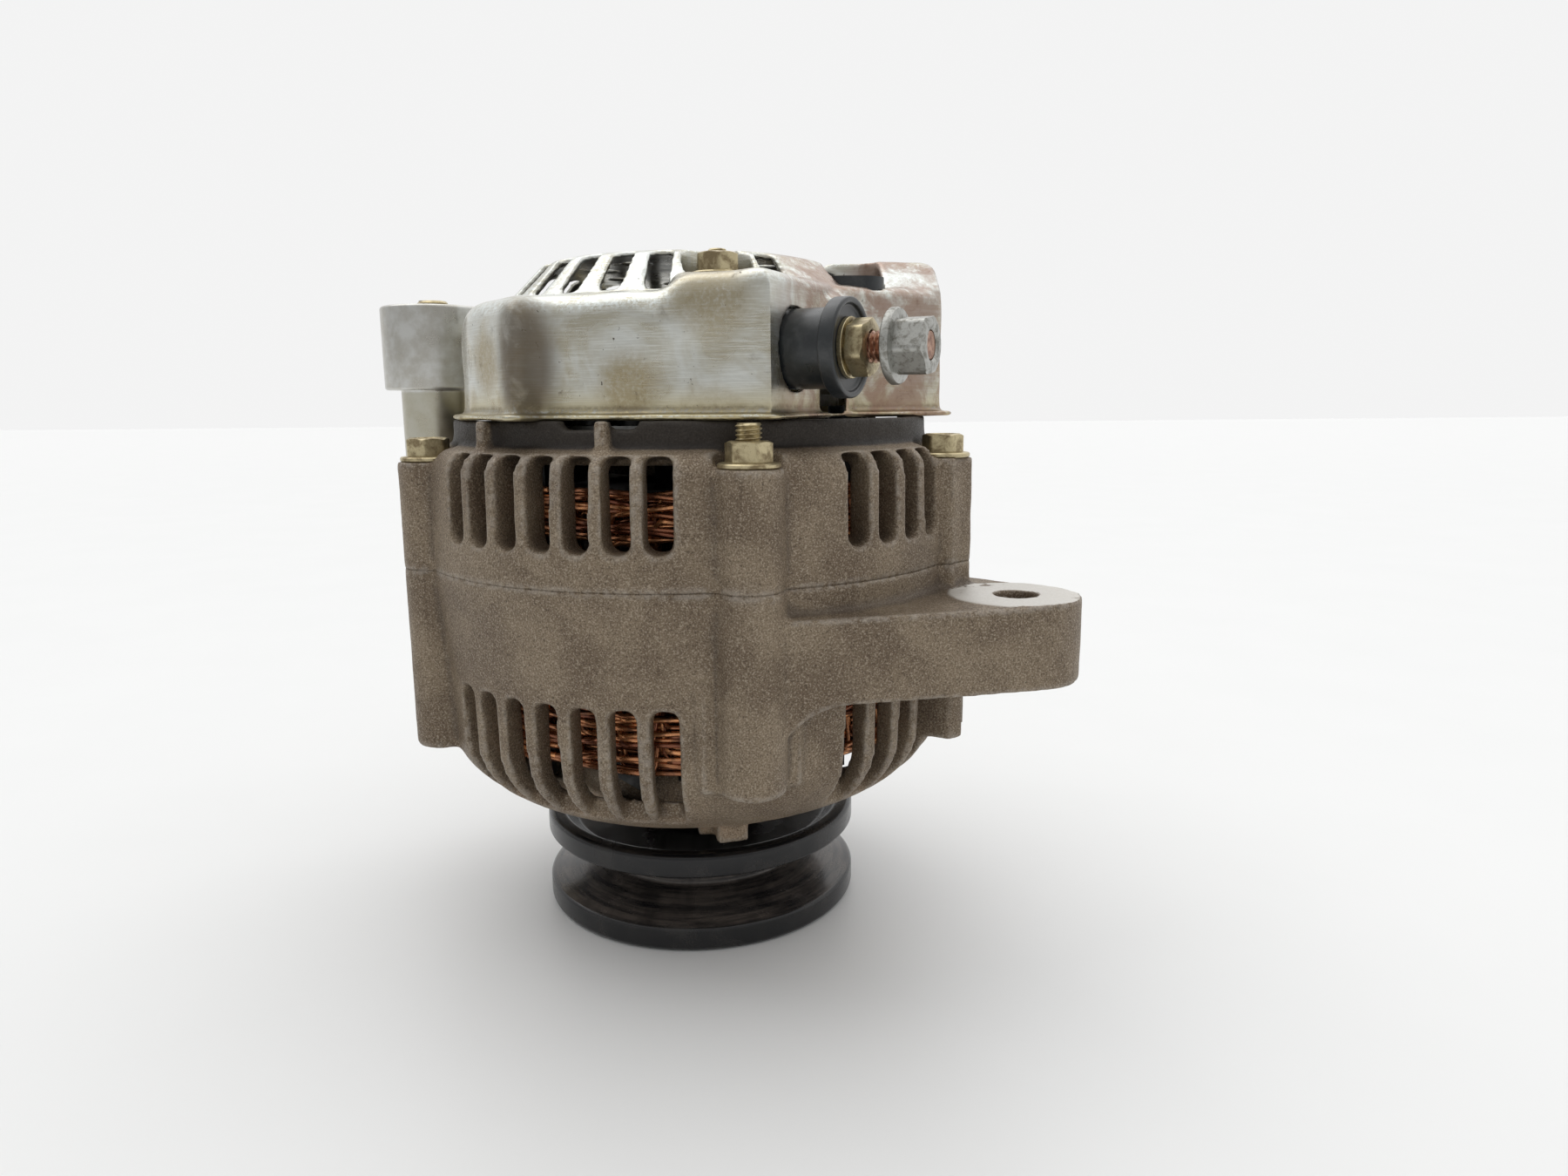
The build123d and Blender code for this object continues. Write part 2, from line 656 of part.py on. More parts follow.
with BuildPart() as rectifier_end_frame:
    add(rear_outside.part)
    add(stud_bosses(PARTING_Z, LUG_TOP))
    add(ring(0, CORE_POCKET_R, PARTING_Z, CORE_HIGH), mode=Mode.SUBTRACT)
    add(ring(0, CAVITY_R, CORE_HIGH, CAVITY_TOP), mode=Mode.SUBTRACT)
    add(ring(0, COLLAR_R - 3.0, SHOULDER_Z, FLANGE_Z), mode=Mode.SUBTRACT)
    add(ring(0, REAR_HUB_R, REAR_BEARING_Z - 1.0, REAR_BEARING_Z + 11.2))
    add(ring(0, REAR_SLEEVE_R, REAR_BEARING_Z, REAR_BEARING_Z + REAR_BEARING[2]), mode=Mode.SUBTRACT)
    add(ring(0, 10.5, REAR_BEARING_Z - 1.5, REAR_BEARING_Z + 12.0), mode=Mode.SUBTRACT)
    with BuildSketch(Plane.XY.offset(END_PLATE_LOW - 0.5)):
        for i in range(10):
            add(sector(REAR_HUB_R + 2.5, 40.0, 36.0 * i, 36.0 * i + 26.0))
    extrude(amount=4.0, mode=Mode.SUBTRACT)
    add(rear_vents.part, mode=Mode.SUBTRACT)
    with BuildSketch(Plane.XY.offset(FLANGE_Z)):
        for start in COLLAR_GAPS:
            add(sector(COLLAR_R - 4.0, COLLAR_R + 1.0, start, start + 17.0))
    extrude(amount=-COLLAR_GAP_DEPTH, mode=Mode.SUBTRACT)
    with BuildSketch(Plane.XY.offset(LUG_TOP)):
        for angle in COLLAR_RIBS:
            with Locations(Location(polar(COLLAR_R + 1.3, angle), angle)):
                Rectangle(3.6, COLLAR_RIB_WIDTH)
    extrude(amount=FLANGE_Z - LUG_TOP)
    with BuildSketch(Plane.XY.offset(SHOULDER_Z - 1.0)):
        for x, y, _ in COVER_STUDS:
            with Locations((x, y)):
                Circle(5.0)
    extrude(amount=3.0)
    with BuildSketch(Plane.XY.offset(END_PLATE_LOW)):
        for x, y, _ in COVER_STUDS:
            with Locations((x, y)):
                Circle(2.0)
    extrude(amount=6.0, mode=Mode.SUBTRACT)
    add(stud_holes(LUG_TOP, LUG_TOP + 4.0, BOSS_R + 0.1), mode=Mode.SUBTRACT)
    add(stud_holes(PARTING_Z, LUG_TOP, STUD_HOLE_R), mode=Mode.SUBTRACT)
    with BuildSketch(Plane.XY.offset(PARTING_Z)):
        with Locations(PIVOT_XY):
            Circle(SPOT_FACE_R)
    extrude(amount=LUG_TOP - PARTING_Z, mode=Mode.SUBTRACT)
finish(rectifier_end_frame.part, "rectifier_end_frame")

# ---------------------------------------------------------------- frame fasteners

NUT_HEIGHT = 5.0
with BuildPart() as frame_studs:
    with BuildSketch(Plane.XY.offset(STUD_FOOT_Z)):
        for angle in STUD_ANGLES:
            with Locations(polar(STUD_CIRCLE_R, angle)):
                Circle(STUD_R)
    extrude(amount=LUG_TOP + NUT_HEIGHT - 0.6 - STUD_FOOT_Z)
    with BuildSketch(Plane.XY.offset(LUG_TOP)):
        with Locations(polar(STUD_CIRCLE_R, FRONT_BOSS_ANGLE)):
            Circle(STUD_R)
    extrude(amount=8.2)
finish(frame_studs.part, "frame_studs")

with BuildPart() as frame_nuts:
    blank = flange_nut(8.0, 5.9, NUT_HEIGHT, STUD_R)
    for angle in STUD_ANGLES:
        with Locations(Location((*polar(STUD_CIRCLE_R, angle), LUG_TOP), (0, 0, angle + 8.0))):
            add(blank)
finish(frame_nuts.part, "frame_nuts")

SLEEVE_R = 9.0
BARREL_R = 12.8
with BuildPart() as sleeve:
    with BuildSketch(Plane.XY.offset(ADJUSTER_HIGH)):
        with Locations(ADJUSTER_XY):
            Circle(SLEEVE_R)
    extrude(amount=SLEEVE_STEP_Z - ADJUSTER_HIGH)
    with BuildSketch(Plane.XY.offset(SLEEVE_STEP_Z)):
        with Locations(ADJUSTER_XY):
            Circle(BARREL_R)
    extrude(amount=SLEEVE_TOP - SLEEVE_STEP_Z)
    rims = sleeve.edges().filter_by(GeomType.CIRCLE).group_by(Axis.Z)
    chamfer(rims[-1], length=0.5)
    with BuildSketch(Plane.XY.offset(ADJUSTER_HIGH)):
        with Locations(ADJUSTER_XY):
            Circle(ADJUSTER_HOLE_R)
    extrude(amount=SLEEVE_TOP - ADJUSTER_HIGH, mode=Mode.SUBTRACT)
finish(sleeve.part, "adjuster_sleeve")

with BuildPart() as adjuster_bolt:
    with BuildSketch(Plane.XY.offset(ADJUSTER_LOW - 5.3)):
        with Locations(ADJUSTER_XY):
            RegularPolygon(6.5, 6, major_radius=False)
    extrude(amount=5.3)
    chamfer(adjuster_bolt.faces().sort_by(Axis.Z)[0].edges(), length=0.5)
    with BuildSketch(Plane.XY.offset(ADJUSTER_LOW - 1.0)):
        with Locations(ADJUSTER_XY):
            Circle(4.0)
    extrude(amount=SLEEVE_TOP + 1.6 - ADJUSTER_LOW + 1.0)
    chamfer(adjuster_bolt.edges().filter_by(GeomType.CIRCLE).group_by(Axis.Z)[-1], length=0.5)
finish(adjuster_bolt.part, "adjuster_bolt")

# ---------------------------------------------------------------- rectifier and regulator

NEG_Z = 113.0
POS_Z = 119.0
DIODE_ANGLES = (-140.0, -124.0, -108.0, -94.0, -62.0, -24.0, -8.0, 8.0)
DIODE_R = 37.5
DIODE_BODY_R = 3.9
POST_CLEARANCE_R = 4.4

with BuildPart() as negative_heatsink:
    with BuildSketch(Plane.XY.offset(NEG_Z)):
        add(sector(26.0, 46.0, -146.0, 16.0))
        for angle in DIODE_ANGLES:
            with Locations(polar(DIODE_R, angle)):
                Circle(DIODE_BODY_R, mode=Mode.SUBTRACT)
        with Locations(COVER_STUDS[0][:2]):
            Circle(POST_CLEARANCE_R, mode=Mode.SUBTRACT)
    extrude(amount=2.5)
finish(negative_heatsink.part, "negative_heatsink")

with BuildPart() as positive_heatsink:
    with BuildSketch(Plane.XY.offset(POS_Z)):
        add(sector(28.0, 45.0, -144.0, -68.0))
        add(sector(28.0, 37.5, -68.5, -50.0))
        add(sector(28.0, 34.5, -50.5, 14.0))
        with Locations(COVER_STUDS[0][:2]):
            Circle(POST_CLEARANCE_R, mode=Mode.SUBTRACT)
    extrude(amount=2.5)
    with BuildSketch(Plane.XY.offset(POS_Z + 2.5)):
        for i in range(4):
            add(sector(29.0, 44.0, -141.0 + 12.0 * i, -139.0 + 12.0 * i))
    extrude(amount=5.0)
finish(positive_heatsink.part, "positive_heatsink")

with BuildPart() as diodes:
    with BuildSketch(Plane.XY.offset(NEG_Z)):
        for angle in DIODE_ANGLES:
            with Locations(polar(DIODE_R, angle)):
                Circle(DIODE_BODY_R)
    extrude(amount=POS_Z - NEG_Z)
finish(diodes.part, "rectifier_diodes")

with BuildPart() as terminal_block:
    with BuildSketch(Plane.XY.offset(NEG_Z + 2.5)):
        add(sector(26.5, 31.0, -142.0, -60.0))
    extrude(amount=POS_Z - NEG_Z - 2.5)
    with BuildSketch(Plane.XY.offset(NEG_Z + 2.5)):
        for i in range(4):
            with Locations(polar(30.0, -132.0 + 20.0 * i)):
                Circle(2.9)
    extrude(amount=POS_Z - NEG_Z - 2.5)
finish(terminal_block.part, "rectifier_terminal_block")

REGULATOR_XY = (-35.5, 8.0)
with BuildPart() as regulator:
    with BuildSketch(Plane.XY.offset(SHOULDER_Z + 1.0)):
        with Locations(REGULATOR_XY):
            RectangleRounded(18.0, 26.0, 2.0)
    extrude(amount=18.0)
    with BuildSketch(Plane.XY.offset(SHOULDER_Z + 1.0 + 14.0)):
        with Locations(REGULATOR_XY):
            with GridLocations(0, 4.4, 1, 6):
                Rectangle(19.0, 2.2)
    extrude(amount=6.0, mode=Mode.SUBTRACT)
finish(regulator.part, "voltage_regulator")

with BuildPart() as regulator_screws:
    with BuildSketch(Plane.XY.offset(SHOULDER_Z)):
        with Locations(REGULATOR_XY):
            with GridLocations(0, 35.0, 1, 2):
                Circle(4.2)
    extrude(amount=1.6)
    with BuildSketch(Plane.XY.offset(SHOULDER_Z + 1.6)):
        with Locations(REGULATOR_XY):
            with GridLocations(0, 35.0, 1, 2):
                RegularPolygon(3.5, 6, major_radius=False)
    extrude(amount=3.0)
finish(regulator_screws.part, "regulator_screws")

# ---------------------------------------------------------------- brushes

HOLDER_LOW = SLIP_RING_Z[0] - 5.2
HOLDER_HIGH = SLIP_RING_Z[1] + 5.2
HOLDER_NEAR_Y = 8.4
HOLDER_FAR_Y = 34.0
SPRING_END_Y = 32.0
BRUSH_NEAR_Y = SLIP_RING_R + BRUSH_GAP

with BuildPart() as brush_holder:
    with BuildSketch(Plane.XY.offset(HOLDER_LOW)):
        with Locations((0, (HOLDER_NEAR_Y + HOLDER_FAR_Y) / 2)):
            Rectangle(12.0, HOLDER_FAR_Y - HOLDER_NEAR_Y)
    extrude(amount=HOLDER_HIGH - HOLDER_LOW)
    with BuildSketch(Plane.XZ.offset(-HOLDER_NEAR_Y + 1.0)):
        for z in SLIP_RING_Z:
            with Locations((0, z)):
                Rectangle(BRUSH_WIDTH + 2 * FIT, BRUSH_HEIGHT + 2 * FIT)
    extrude(amount=-(SPRING_END_Y - HOLDER_NEAR_Y + 1.0), mode=Mode.SUBTRACT)
finish(brush_holder.part, "brush_holder")

for name, z in zip(("positive", "negative"), SLIP_RING_Z):
    with BuildPart() as brush:
        with BuildSketch(Plane.XZ.offset(-6.0)):
            with Locations((0, z)):
                Rectangle(BRUSH_WIDTH, BRUSH_HEIGHT)
        extrude(amount=-(BRUSH_LENGTH + BRUSH_NEAR_Y - 6.0))
        add(ring(0, BRUSH_NEAR_Y, z - 5.0, z + 5.0), mode=Mode.SUBTRACT)
    finish(brush.part, f"{name}_brush")

    spring_start = BRUSH_LENGTH + BRUSH_NEAR_Y + 0.1
    spring_run = SPRING_END_Y - 0.1 - spring_start
    with BuildPart() as spring:
        with BuildSketch(Plane.XZ.offset(-spring_start)):
            with Locations((0, z)):
                Circle(2.1)
                Circle(1.5, mode=Mode.SUBTRACT)
        extrude(amount=-0.9)
        coils = 5
        for i in range(1, coils):
            with BuildSketch(Plane.XZ.offset(-spring_start - i * (spring_run - 0.9) / (coils - 1))):
                with Locations((0, z)):
                    Circle(2.1)
                    Circle(1.5, mode=Mode.SUBTRACT)
            extrude(amount=-0.9)
        with BuildSketch(Plane.XZ.offset(-spring_start)):
            with Locations((1.8, z), (-1.8, z)):
                Rectangle(0.6, 0.9)
        extrude(amount=-spring_run)
    finish(spring.part, f"{name}_brush_spring")

# ---------------------------------------------------------------- rear cover

FR_CORNER = (14.5, -54.0)
FLANGE_REACH = 2.6
NUT_POCKET_R = 7.2
NOTCH = (30.5, -27.0)
TOP_ROUND = 4.6
CORNER_ROUND = 3.0
BLOCK_ROUND = 3.0
BLOCK_X = 30.0
BLOCK_FRONT_Y = -15.0
BLOCK_BACK_Y = 33.0
BLOCK_SLOPE = 10.0


def cover_outline(inset):
    """The cover's outline drawn in by an inset, as a sketch on the XY plane."""
    with BuildSketch() as outline:
        with BuildLine():
            Polyline(
                (-50.0, 24.0), (-51.5, 0.0), (-50.5, -12.0), (-46.0, -27.0), (-34.0, -46.0),
                (-29.0, -41.5), (-8.0, -50.0), FR_CORNER, NOTCH, (56.0, -15.5), (57.5, 22.0),
            )
            ThreePointArc((57.5, 22.0), (2.0, 56.0), (-50.0, 24.0))
        make_face()
        if inset != 0:
            offset(amount=-inset, mode=Mode.REPLACE)
    return outline.sketch


def cover_form(inset):
    """The cover's solid shape, drawn in by an inset on its sides and its tops."""
    with BuildPart() as form:
        with BuildSketch(Plane.XY.offset(FLANGE_Z)):
            add(cover_outline(inset))
        extrude(amount=COVER_TOP - inset - FLANGE_Z)
        fillet(form.faces().sort_by(Axis.Z)[-1].edges(), radius=TOP_ROUND - inset)
    with BuildPart() as corner:
        with BuildSketch(Plane.XY.offset(FLANGE_Z)):
            add(cover_outline(inset))
            with Locations((-4.0 + inset, -60.0)):
                Rectangle(120.0, 72.0 - inset, align=(Align.MIN, Align.MIN), mode=Mode.INTERSECT)
        extrude(amount=CORNER_TOP - inset - FLANGE_Z)
        fillet(corner.faces().sort_by(Axis.Z)[-1].edges(), radius=CORNER_ROUND - inset)
    with BuildPart() as block:
        with BuildSketch(Plane.XY.offset(FLANGE_Z)):
            add(cover_outline(inset))
            with Locations((BLOCK_X + inset, BLOCK_FRONT_Y + inset)):
                Rectangle(60.0, BLOCK_BACK_Y - BLOCK_FRONT_Y - 2 * inset,
                          align=(Align.MIN, Align.MIN), mode=Mode.INTERSECT)
        extrude(amount=BLOCK_TOP - inset - FLANGE_Z)
        fillet(block.faces().sort_by(Axis.Z)[-1].edges(), radius=BLOCK_ROUND - inset)
        with BuildSketch(Plane.YZ):
            Polygon(
                (BLOCK_FRONT_Y - 5.0, CORNER_TOP - inset),
                (BLOCK_FRONT_Y + inset, CORNER_TOP - inset),
                (BLOCK_FRONT_Y + inset + BLOCK_SLOPE, BLOCK_TOP + 1.0),
                (BLOCK_FRONT_Y - 5.0, BLOCK_TOP + 1.0),
                align=None,
            )
        extrude(amount=80.0, mode=Mode.SUBTRACT)
        with BuildSketch(Plane.XY.offset(CORNER_TOP - inset)):
            with Locations(CONNECTOR_XY):
                RectangleRounded(
                    CONNECTOR_SIZE[0] + 2 * (CONNECTOR_GAP + inset),
                    CONNECTOR_SIZE[1] + 2 * (CONNECTOR_GAP + inset),
                    5.0,
                )
        extrude(amount=BLOCK_TOP - CORNER_TOP + 2.0, mode=Mode.SUBTRACT)
    with BuildPart() as dome:
        with BuildSketch(Plane.XZ):
            Polygon(
                (0, FLANGE_Z), (43.0 - inset, FLANGE_Z), (43.0 - inset, 140.5 - inset),
                (34.0 - inset * 0.6, DOME_TOP - 1.0 - inset), (30.0, DOME_TOP - inset),
                (0, DOME_TOP - inset), align=None,
            )
        revolve(axis=Axis.Z)
        for x, y, top in COVER_STUDS:
            with BuildSketch(Plane.XY.offset(top - inset)):
                with Locations((x, y)):
                    Circle(NUT_POCKET_R + inset)
            extrude(amount=12.0, mode=Mode.SUBTRACT)
    return [form.part, corner.part, block.part, dome.part]


DOME_SLOT_PITCH = 13.5
outside_forms = cover_form(0)
inside_forms = cover_form(SHEET)

with BuildPart() as rear_cover:
    with BuildSketch(Plane.XY.offset(FLANGE_Z)):
        add(cover_outline(-FLANGE_REACH))
    extrude(amount=SHEET)
    for shape in outside_forms:
        add(shape)
    for shape in inside_forms:
        add(shape, mode=Mode.SUBTRACT)
    with BuildSketch(Plane.XY.offset(COVER_TOP + 0.8)):
        for i in range(26):
            angle = -99.5 - DOME_SLOT_PITCH * i
            if -20 < (angle + 360) % 360 < 55 or (angle + 360) % 360 > 300:
                continue
            with Locations(Location(polar(38.0, angle), angle)):
                SlotOverall(14.0, 4.6)
    extrude(amount=9.0, mode=Mode.SUBTRACT)
    with BuildSketch(Plane.XY.offset(DOME_TOP - 5.0)):
        with PolarLocations(20.0, 8, start_angle=10):
            Circle(3.0)
    extrude(amount=8.0, mode=Mode.SUBTRACT)
    with BuildSketch(Plane.XY.offset(FLANGE_Z)):
        with Locations(Location((29.0, -30.0), 58.0)):
            Rectangle(9.0, 3.6)
    extrude(amount=8.0, mode=Mode.SUBTRACT)
    with BuildSketch(Plane(origin=TERMINAL_ROOT, z_dir=TERMINAL_DIR)):
        Circle(8.0)
    extrude(amount=9.0, both=True, mode=Mode.SUBTRACT)
    with BuildSketch(Plane.XY.offset(CORNER_TOP - 8.0)):
        with Locations(CONNECTOR_XY):
            RectangleRounded(CONNECTOR_SIZE[0] + 2 * FIT, CONNECTOR_SIZE[1] + 2 * FIT, 5.0)
    extrude(amount=20.0, mode=Mode.SUBTRACT)
    for x, y, top in COVER_STUDS:
        with BuildSketch(Plane.XY.offset(top - SHEET - 4.0)):
            with Locations((x, y)):
                Circle(2.75)
        extrude(amount=14.0, mode=Mode.SUBTRACT)
finish(rear_cover.part, "rear_cover")

with BuildPart() as cover_studs:
    for x, y, top in COVER_STUDS:
        with BuildSketch(Plane.XY.offset(END_PLATE_LOW)):
            with Locations((x, y)):
                Circle(2.0)
        extrude(amount=top + 5.5 - END_PLATE_LOW)
        with BuildSketch(Plane.XY.offset(SHOULDER_Z + 2.0)):
            with Locations((x, y)):
                Circle(COVER_SPACER_R)
        extrude(amount=top - SHEET - SHOULDER_Z - 2.0)
finish(cover_studs.part, "cover_studs")

with BuildPart() as cover_nuts:
    blank = flange_nut(8.0, 5.6, 4.8, 2.0)
    for x, y, top in COVER_STUDS:
        with Locations((x, y, top)):
            add(blank)
finish(cover_nuts.part, "cover_nuts")

# ---------------------------------------------------------------- battery terminal

INSULATOR_R = 7.7
INSULATOR_FLANGE_R = 9.5
INSULATOR_LENGTH = 13.0
TERMINAL_STUD_R = 3.0


def terminal_plane(distance):
    """The plane square to the terminal's axis at a distance from its root."""
    origin = Vector(*TERMINAL_ROOT) + Vector(*TERMINAL_DIR) * distance
    return Plane(origin=origin, x_dir=(0, 0, 1), z_dir=TERMINAL_DIR)


with BuildPart() as insulator:
    with BuildSketch(terminal_plane(-5.0)):
        Circle(INSULATOR_R)
    extrude(amount=5.0 + INSULATOR_LENGTH)
    with BuildSketch(terminal_plane(INSULATOR_LENGTH - 3.2)):
        Circle(INSULATOR_FLANGE_R)
    extrude(amount=3.2)
    with BuildSketch(terminal_plane(INSULATOR_LENGTH)):
        Circle(8.2)
    extrude(amount=-1.0, mode=Mode.SUBTRACT)
    with BuildSketch(terminal_plane(-6.0)):
        Circle(TERMINAL_STUD_R)
    extrude(amount=INSULATOR_LENGTH + 8.0, mode=Mode.SUBTRACT)
finish(insulator.part, "b_plus_insulator")

with BuildPart() as b_plus_stud:
    with BuildSketch(terminal_plane(-10.0)):
        Circle(5.0)
    extrude(amount=2.0)
    with BuildSketch(terminal_plane(-8.0)):
        Circle(TERMINAL_STUD_R)
    extrude(amount=36.5)
    chamfer(b_plus_stud.edges().filter_by(GeomType.CIRCLE).sort_by(
        lambda edge: edge.center().X)[-1], length=0.5)
finish(b_plus_stud.part, "b_plus_stud")

with BuildPart() as b_plus_inner_nut:
    with BuildSketch(terminal_plane(INSULATOR_LENGTH - 1.0)):
        Circle(6.9)
        Circle(TERMINAL_STUD_R, mode=Mode.SUBTRACT)
    extrude(amount=1.0)
    with BuildSketch(terminal_plane(INSULATOR_LENGTH)):
        RegularPolygon(5.0, 6, major_radius=False)
        Circle(TERMINAL_STUD_R, mode=Mode.SUBTRACT)
    extrude(amount=4.2)
finish(b_plus_inner_nut.part, "b_plus_inner_nut")

B_PLUS_NUT_AT = 21.0
with BuildPart() as b_plus_nut:
    with Locations(terminal_plane(B_PLUS_NUT_AT).location):
        add(flange_nut(10.0, 7.1, 8.0, TERMINAL_STUD_R))
finish(b_plus_nut.part, "b_plus_flange_nut")

with BuildPart() as busbar:
    with BuildSketch(terminal_plane(-8.0)):
        with Locations((-1.5, 0)):
            Rectangle(14.0, 11.0)
        Circle(TERMINAL_STUD_R, mode=Mode.SUBTRACT)
    extrude(amount=2.0)
finish(busbar.part, "b_plus_busbar")

# ---------------------------------------------------------------- connector

CONNECTOR_LOW = 126.0
with BuildPart() as connector:
    with BuildSketch(Plane.XY.offset(CONNECTOR_LOW)):
        with Locations(CONNECTOR_XY):
            RectangleRounded(*CONNECTOR_SIZE, 5.0)
    extrude(amount=CONNECTOR_TOP - CONNECTOR_LOW)
    with BuildSketch(Plane.XY.offset(CONNECTOR_LOW + 4.0)):
        with Locations(CONNECTOR_XY):
            RectangleRounded(
                CONNECTOR_SIZE[0] - 2 * CONNECTOR_WALL,
                CONNECTOR_SIZE[1] - 2 * CONNECTOR_WALL,
                3.4,
            )
    extrude(amount=CONNECTOR_TOP - CONNECTOR_LOW - 4.0, mode=Mode.SUBTRACT)
    with BuildSketch(Plane.XY.offset(CONNECTOR_LOW + 3.0)):
        with Locations(CONNECTOR_XY):
            with GridLocations(0, 4.6, 1, 3):
                Rectangle(2.4, 0.8)
    extrude(amount=2.0, mode=Mode.SUBTRACT)
finish(connector.part, "connector_socket")

with BuildPart() as pins:
    with BuildSketch(Plane.XY.offset(CONNECTOR_LOW + 3.0)):
        with Locations(CONNECTOR_XY):
            with GridLocations(0, 4.6, 1, 3):
                Rectangle(2.4, 0.8)
    extrude(amount=11.0)
finish(pins.part, "connector_pins")
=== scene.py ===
import json
import math
import random

import bmesh
import bpy
import numpy as np
from mathutils import Matrix, Vector


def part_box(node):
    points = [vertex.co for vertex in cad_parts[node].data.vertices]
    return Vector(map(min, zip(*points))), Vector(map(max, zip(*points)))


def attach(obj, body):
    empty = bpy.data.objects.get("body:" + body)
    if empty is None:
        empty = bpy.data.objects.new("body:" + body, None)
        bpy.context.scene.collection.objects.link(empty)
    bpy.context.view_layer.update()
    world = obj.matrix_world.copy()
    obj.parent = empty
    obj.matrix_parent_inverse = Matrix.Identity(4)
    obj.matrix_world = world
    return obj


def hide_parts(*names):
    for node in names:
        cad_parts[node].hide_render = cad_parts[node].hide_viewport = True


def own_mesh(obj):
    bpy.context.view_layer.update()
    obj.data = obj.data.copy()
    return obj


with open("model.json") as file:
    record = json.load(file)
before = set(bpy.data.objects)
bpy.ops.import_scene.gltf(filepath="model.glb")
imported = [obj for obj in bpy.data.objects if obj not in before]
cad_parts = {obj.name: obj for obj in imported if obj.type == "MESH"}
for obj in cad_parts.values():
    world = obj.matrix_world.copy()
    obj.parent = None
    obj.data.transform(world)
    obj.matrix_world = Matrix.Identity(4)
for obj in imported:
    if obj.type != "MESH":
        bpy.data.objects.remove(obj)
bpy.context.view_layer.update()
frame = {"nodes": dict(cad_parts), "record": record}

MM = 0.001
nodes = frame["nodes"]
mounts = {m["name"]: m for m in frame["record"]["mounts"]}
node_slots = {s["node"]: s["material_slot"] for s in frame["record"]["subparts"]}
draw = random.Random(11)

# ---------------------------------------------------------------- shader helpers


class Surface:
    """A procedural material, built up node by node around one Principled shader."""

    def __init__(self, name):
        self.material = bpy.data.materials.new(name)
        self.material.use_nodes = True
        self.tree = self.material.node_tree
        self.shader = self.tree.nodes["Principled BSDF"]
        self.place = self.add("ShaderNodeTexCoord").outputs["Object"]
        self.normal = None

    def add(self, kind, **settings):
        node = self.tree.nodes.new(kind)
        for key, value in settings.items():
            setattr(node, key, value)
        return node

    def feed(self, socket, value):
        if isinstance(value, bpy.types.NodeSocket):
            self.tree.links.new(value, socket)
        elif isinstance(value, tuple) and len(value) == 3 and socket.type == "RGBA":
            socket.default_value = (*value, 1.0)
        else:
            socket.default_value = value

    def stretched(self, scale):
        node = self.add("ShaderNodeMapping")
        self.feed(node.inputs["Vector"], self.place)
        node.inputs["Scale"].default_value = scale
        return node.outputs["Vector"]

    def noise(self, size_mm, detail=3.0, roughness=0.55, distortion=0.0, stretch=None):
        node = self.add("ShaderNodeTexNoise")
        self.feed(node.inputs["Vector"], self.stretched(stretch) if stretch else self.place)
        node.inputs["Scale"].default_value = 1.0 / (size_mm * MM)
        node.inputs["Detail"].default_value = detail
        node.inputs["Roughness"].default_value = roughness
        node.inputs["Distortion"].default_value = distortion
        return node.outputs["Fac"]

    def math(self, operation, a, b=0.0):
        node = self.add("ShaderNodeMath", operation=operation)
        self.feed(node.inputs[0], a)
        self.feed(node.inputs[1], b)
        return node.outputs[0]

    def span(self, value, low, high, to_low=0.0, to_high=1.0):
        """A smooth step from to_low at low to to_high at high."""
        node = self.add("ShaderNodeMapRange", interpolation_type="SMOOTHSTEP")
        for key, given in (("Value", value), ("From Min", low), ("From Max", high),
                           ("To Min", to_low), ("To Max", to_high)):
            self.feed(node.inputs[key], given)
        return node.outputs["Result"]

    def axis(self, letter):
        node = self.add("ShaderNodeSeparateXYZ")
        self.feed(node.inputs[0], self.place)
        return node.outputs[letter]

    def near(self, centre_mm, radius_mm, soft_mm, flatten=(1.0, 1.0, 1.0)):
        """1 close to a point and 0 beyond a radius, with a soft rim."""
        node = self.add("ShaderNodeVectorMath", operation="SUBTRACT")
        self.feed(node.inputs[0], self.place)
        node.inputs[1].default_value = [c * MM for c in centre_mm]
        scaled = self.add("ShaderNodeVectorMath", operation="MULTIPLY")
        self.feed(scaled.inputs[0], node.outputs[0])
        scaled.inputs[1].default_value = flatten
        length = self.add("ShaderNodeVectorMath", operation="LENGTH")
        self.feed(length.inputs[0], scaled.outputs[0])
        return self.span(length.outputs["Value"], radius_mm * MM, (radius_mm - soft_mm) * MM)

    def attribute(self, name):
        return self.add("ShaderNodeAttribute", attribute_name=name).outputs["Fac"]

    def facing(self, letter):
        node = self.add("ShaderNodeSeparateXYZ")
        self.feed(node.inputs[0], self.add("ShaderNodeNewGeometry").outputs["True Normal"])
        return node.outputs[letter]

    def mix(self, factor, a, b):
        node = self.add("ShaderNodeMix", data_type="RGBA")
        self.feed(node.inputs["Factor"], factor)
        self.feed(node.inputs[6], a)
        self.feed(node.inputs[7], b)
        return node.outputs[2]

    def bump(self, height, depth_mm, strength=1.0):
        node = self.add("ShaderNodeBump")
        node.inputs["Strength"].default_value = strength
        node.inputs["Distance"].default_value = depth_mm * MM
        self.feed(node.inputs["Height"], height)
        if self.normal is not None:
            self.feed(node.inputs["Normal"], self.normal)
        self.normal = node.outputs["Normal"]

    def done(self, color, roughness, metallic, **sockets):
        self.feed(self.shader.inputs["Base Color"], color)
        self.feed(self.shader.inputs["Roughness"], roughness)
        self.feed(self.shader.inputs["Metallic"], metallic)
        for key, value in sockets.items():
            self.shader.inputs[key.replace("_", " ")].default_value = value
        if self.normal is not None:
            self.feed(self.shader.inputs["Normal"], self.normal)
        return self.material


# ---------------------------------------------------------------- materials

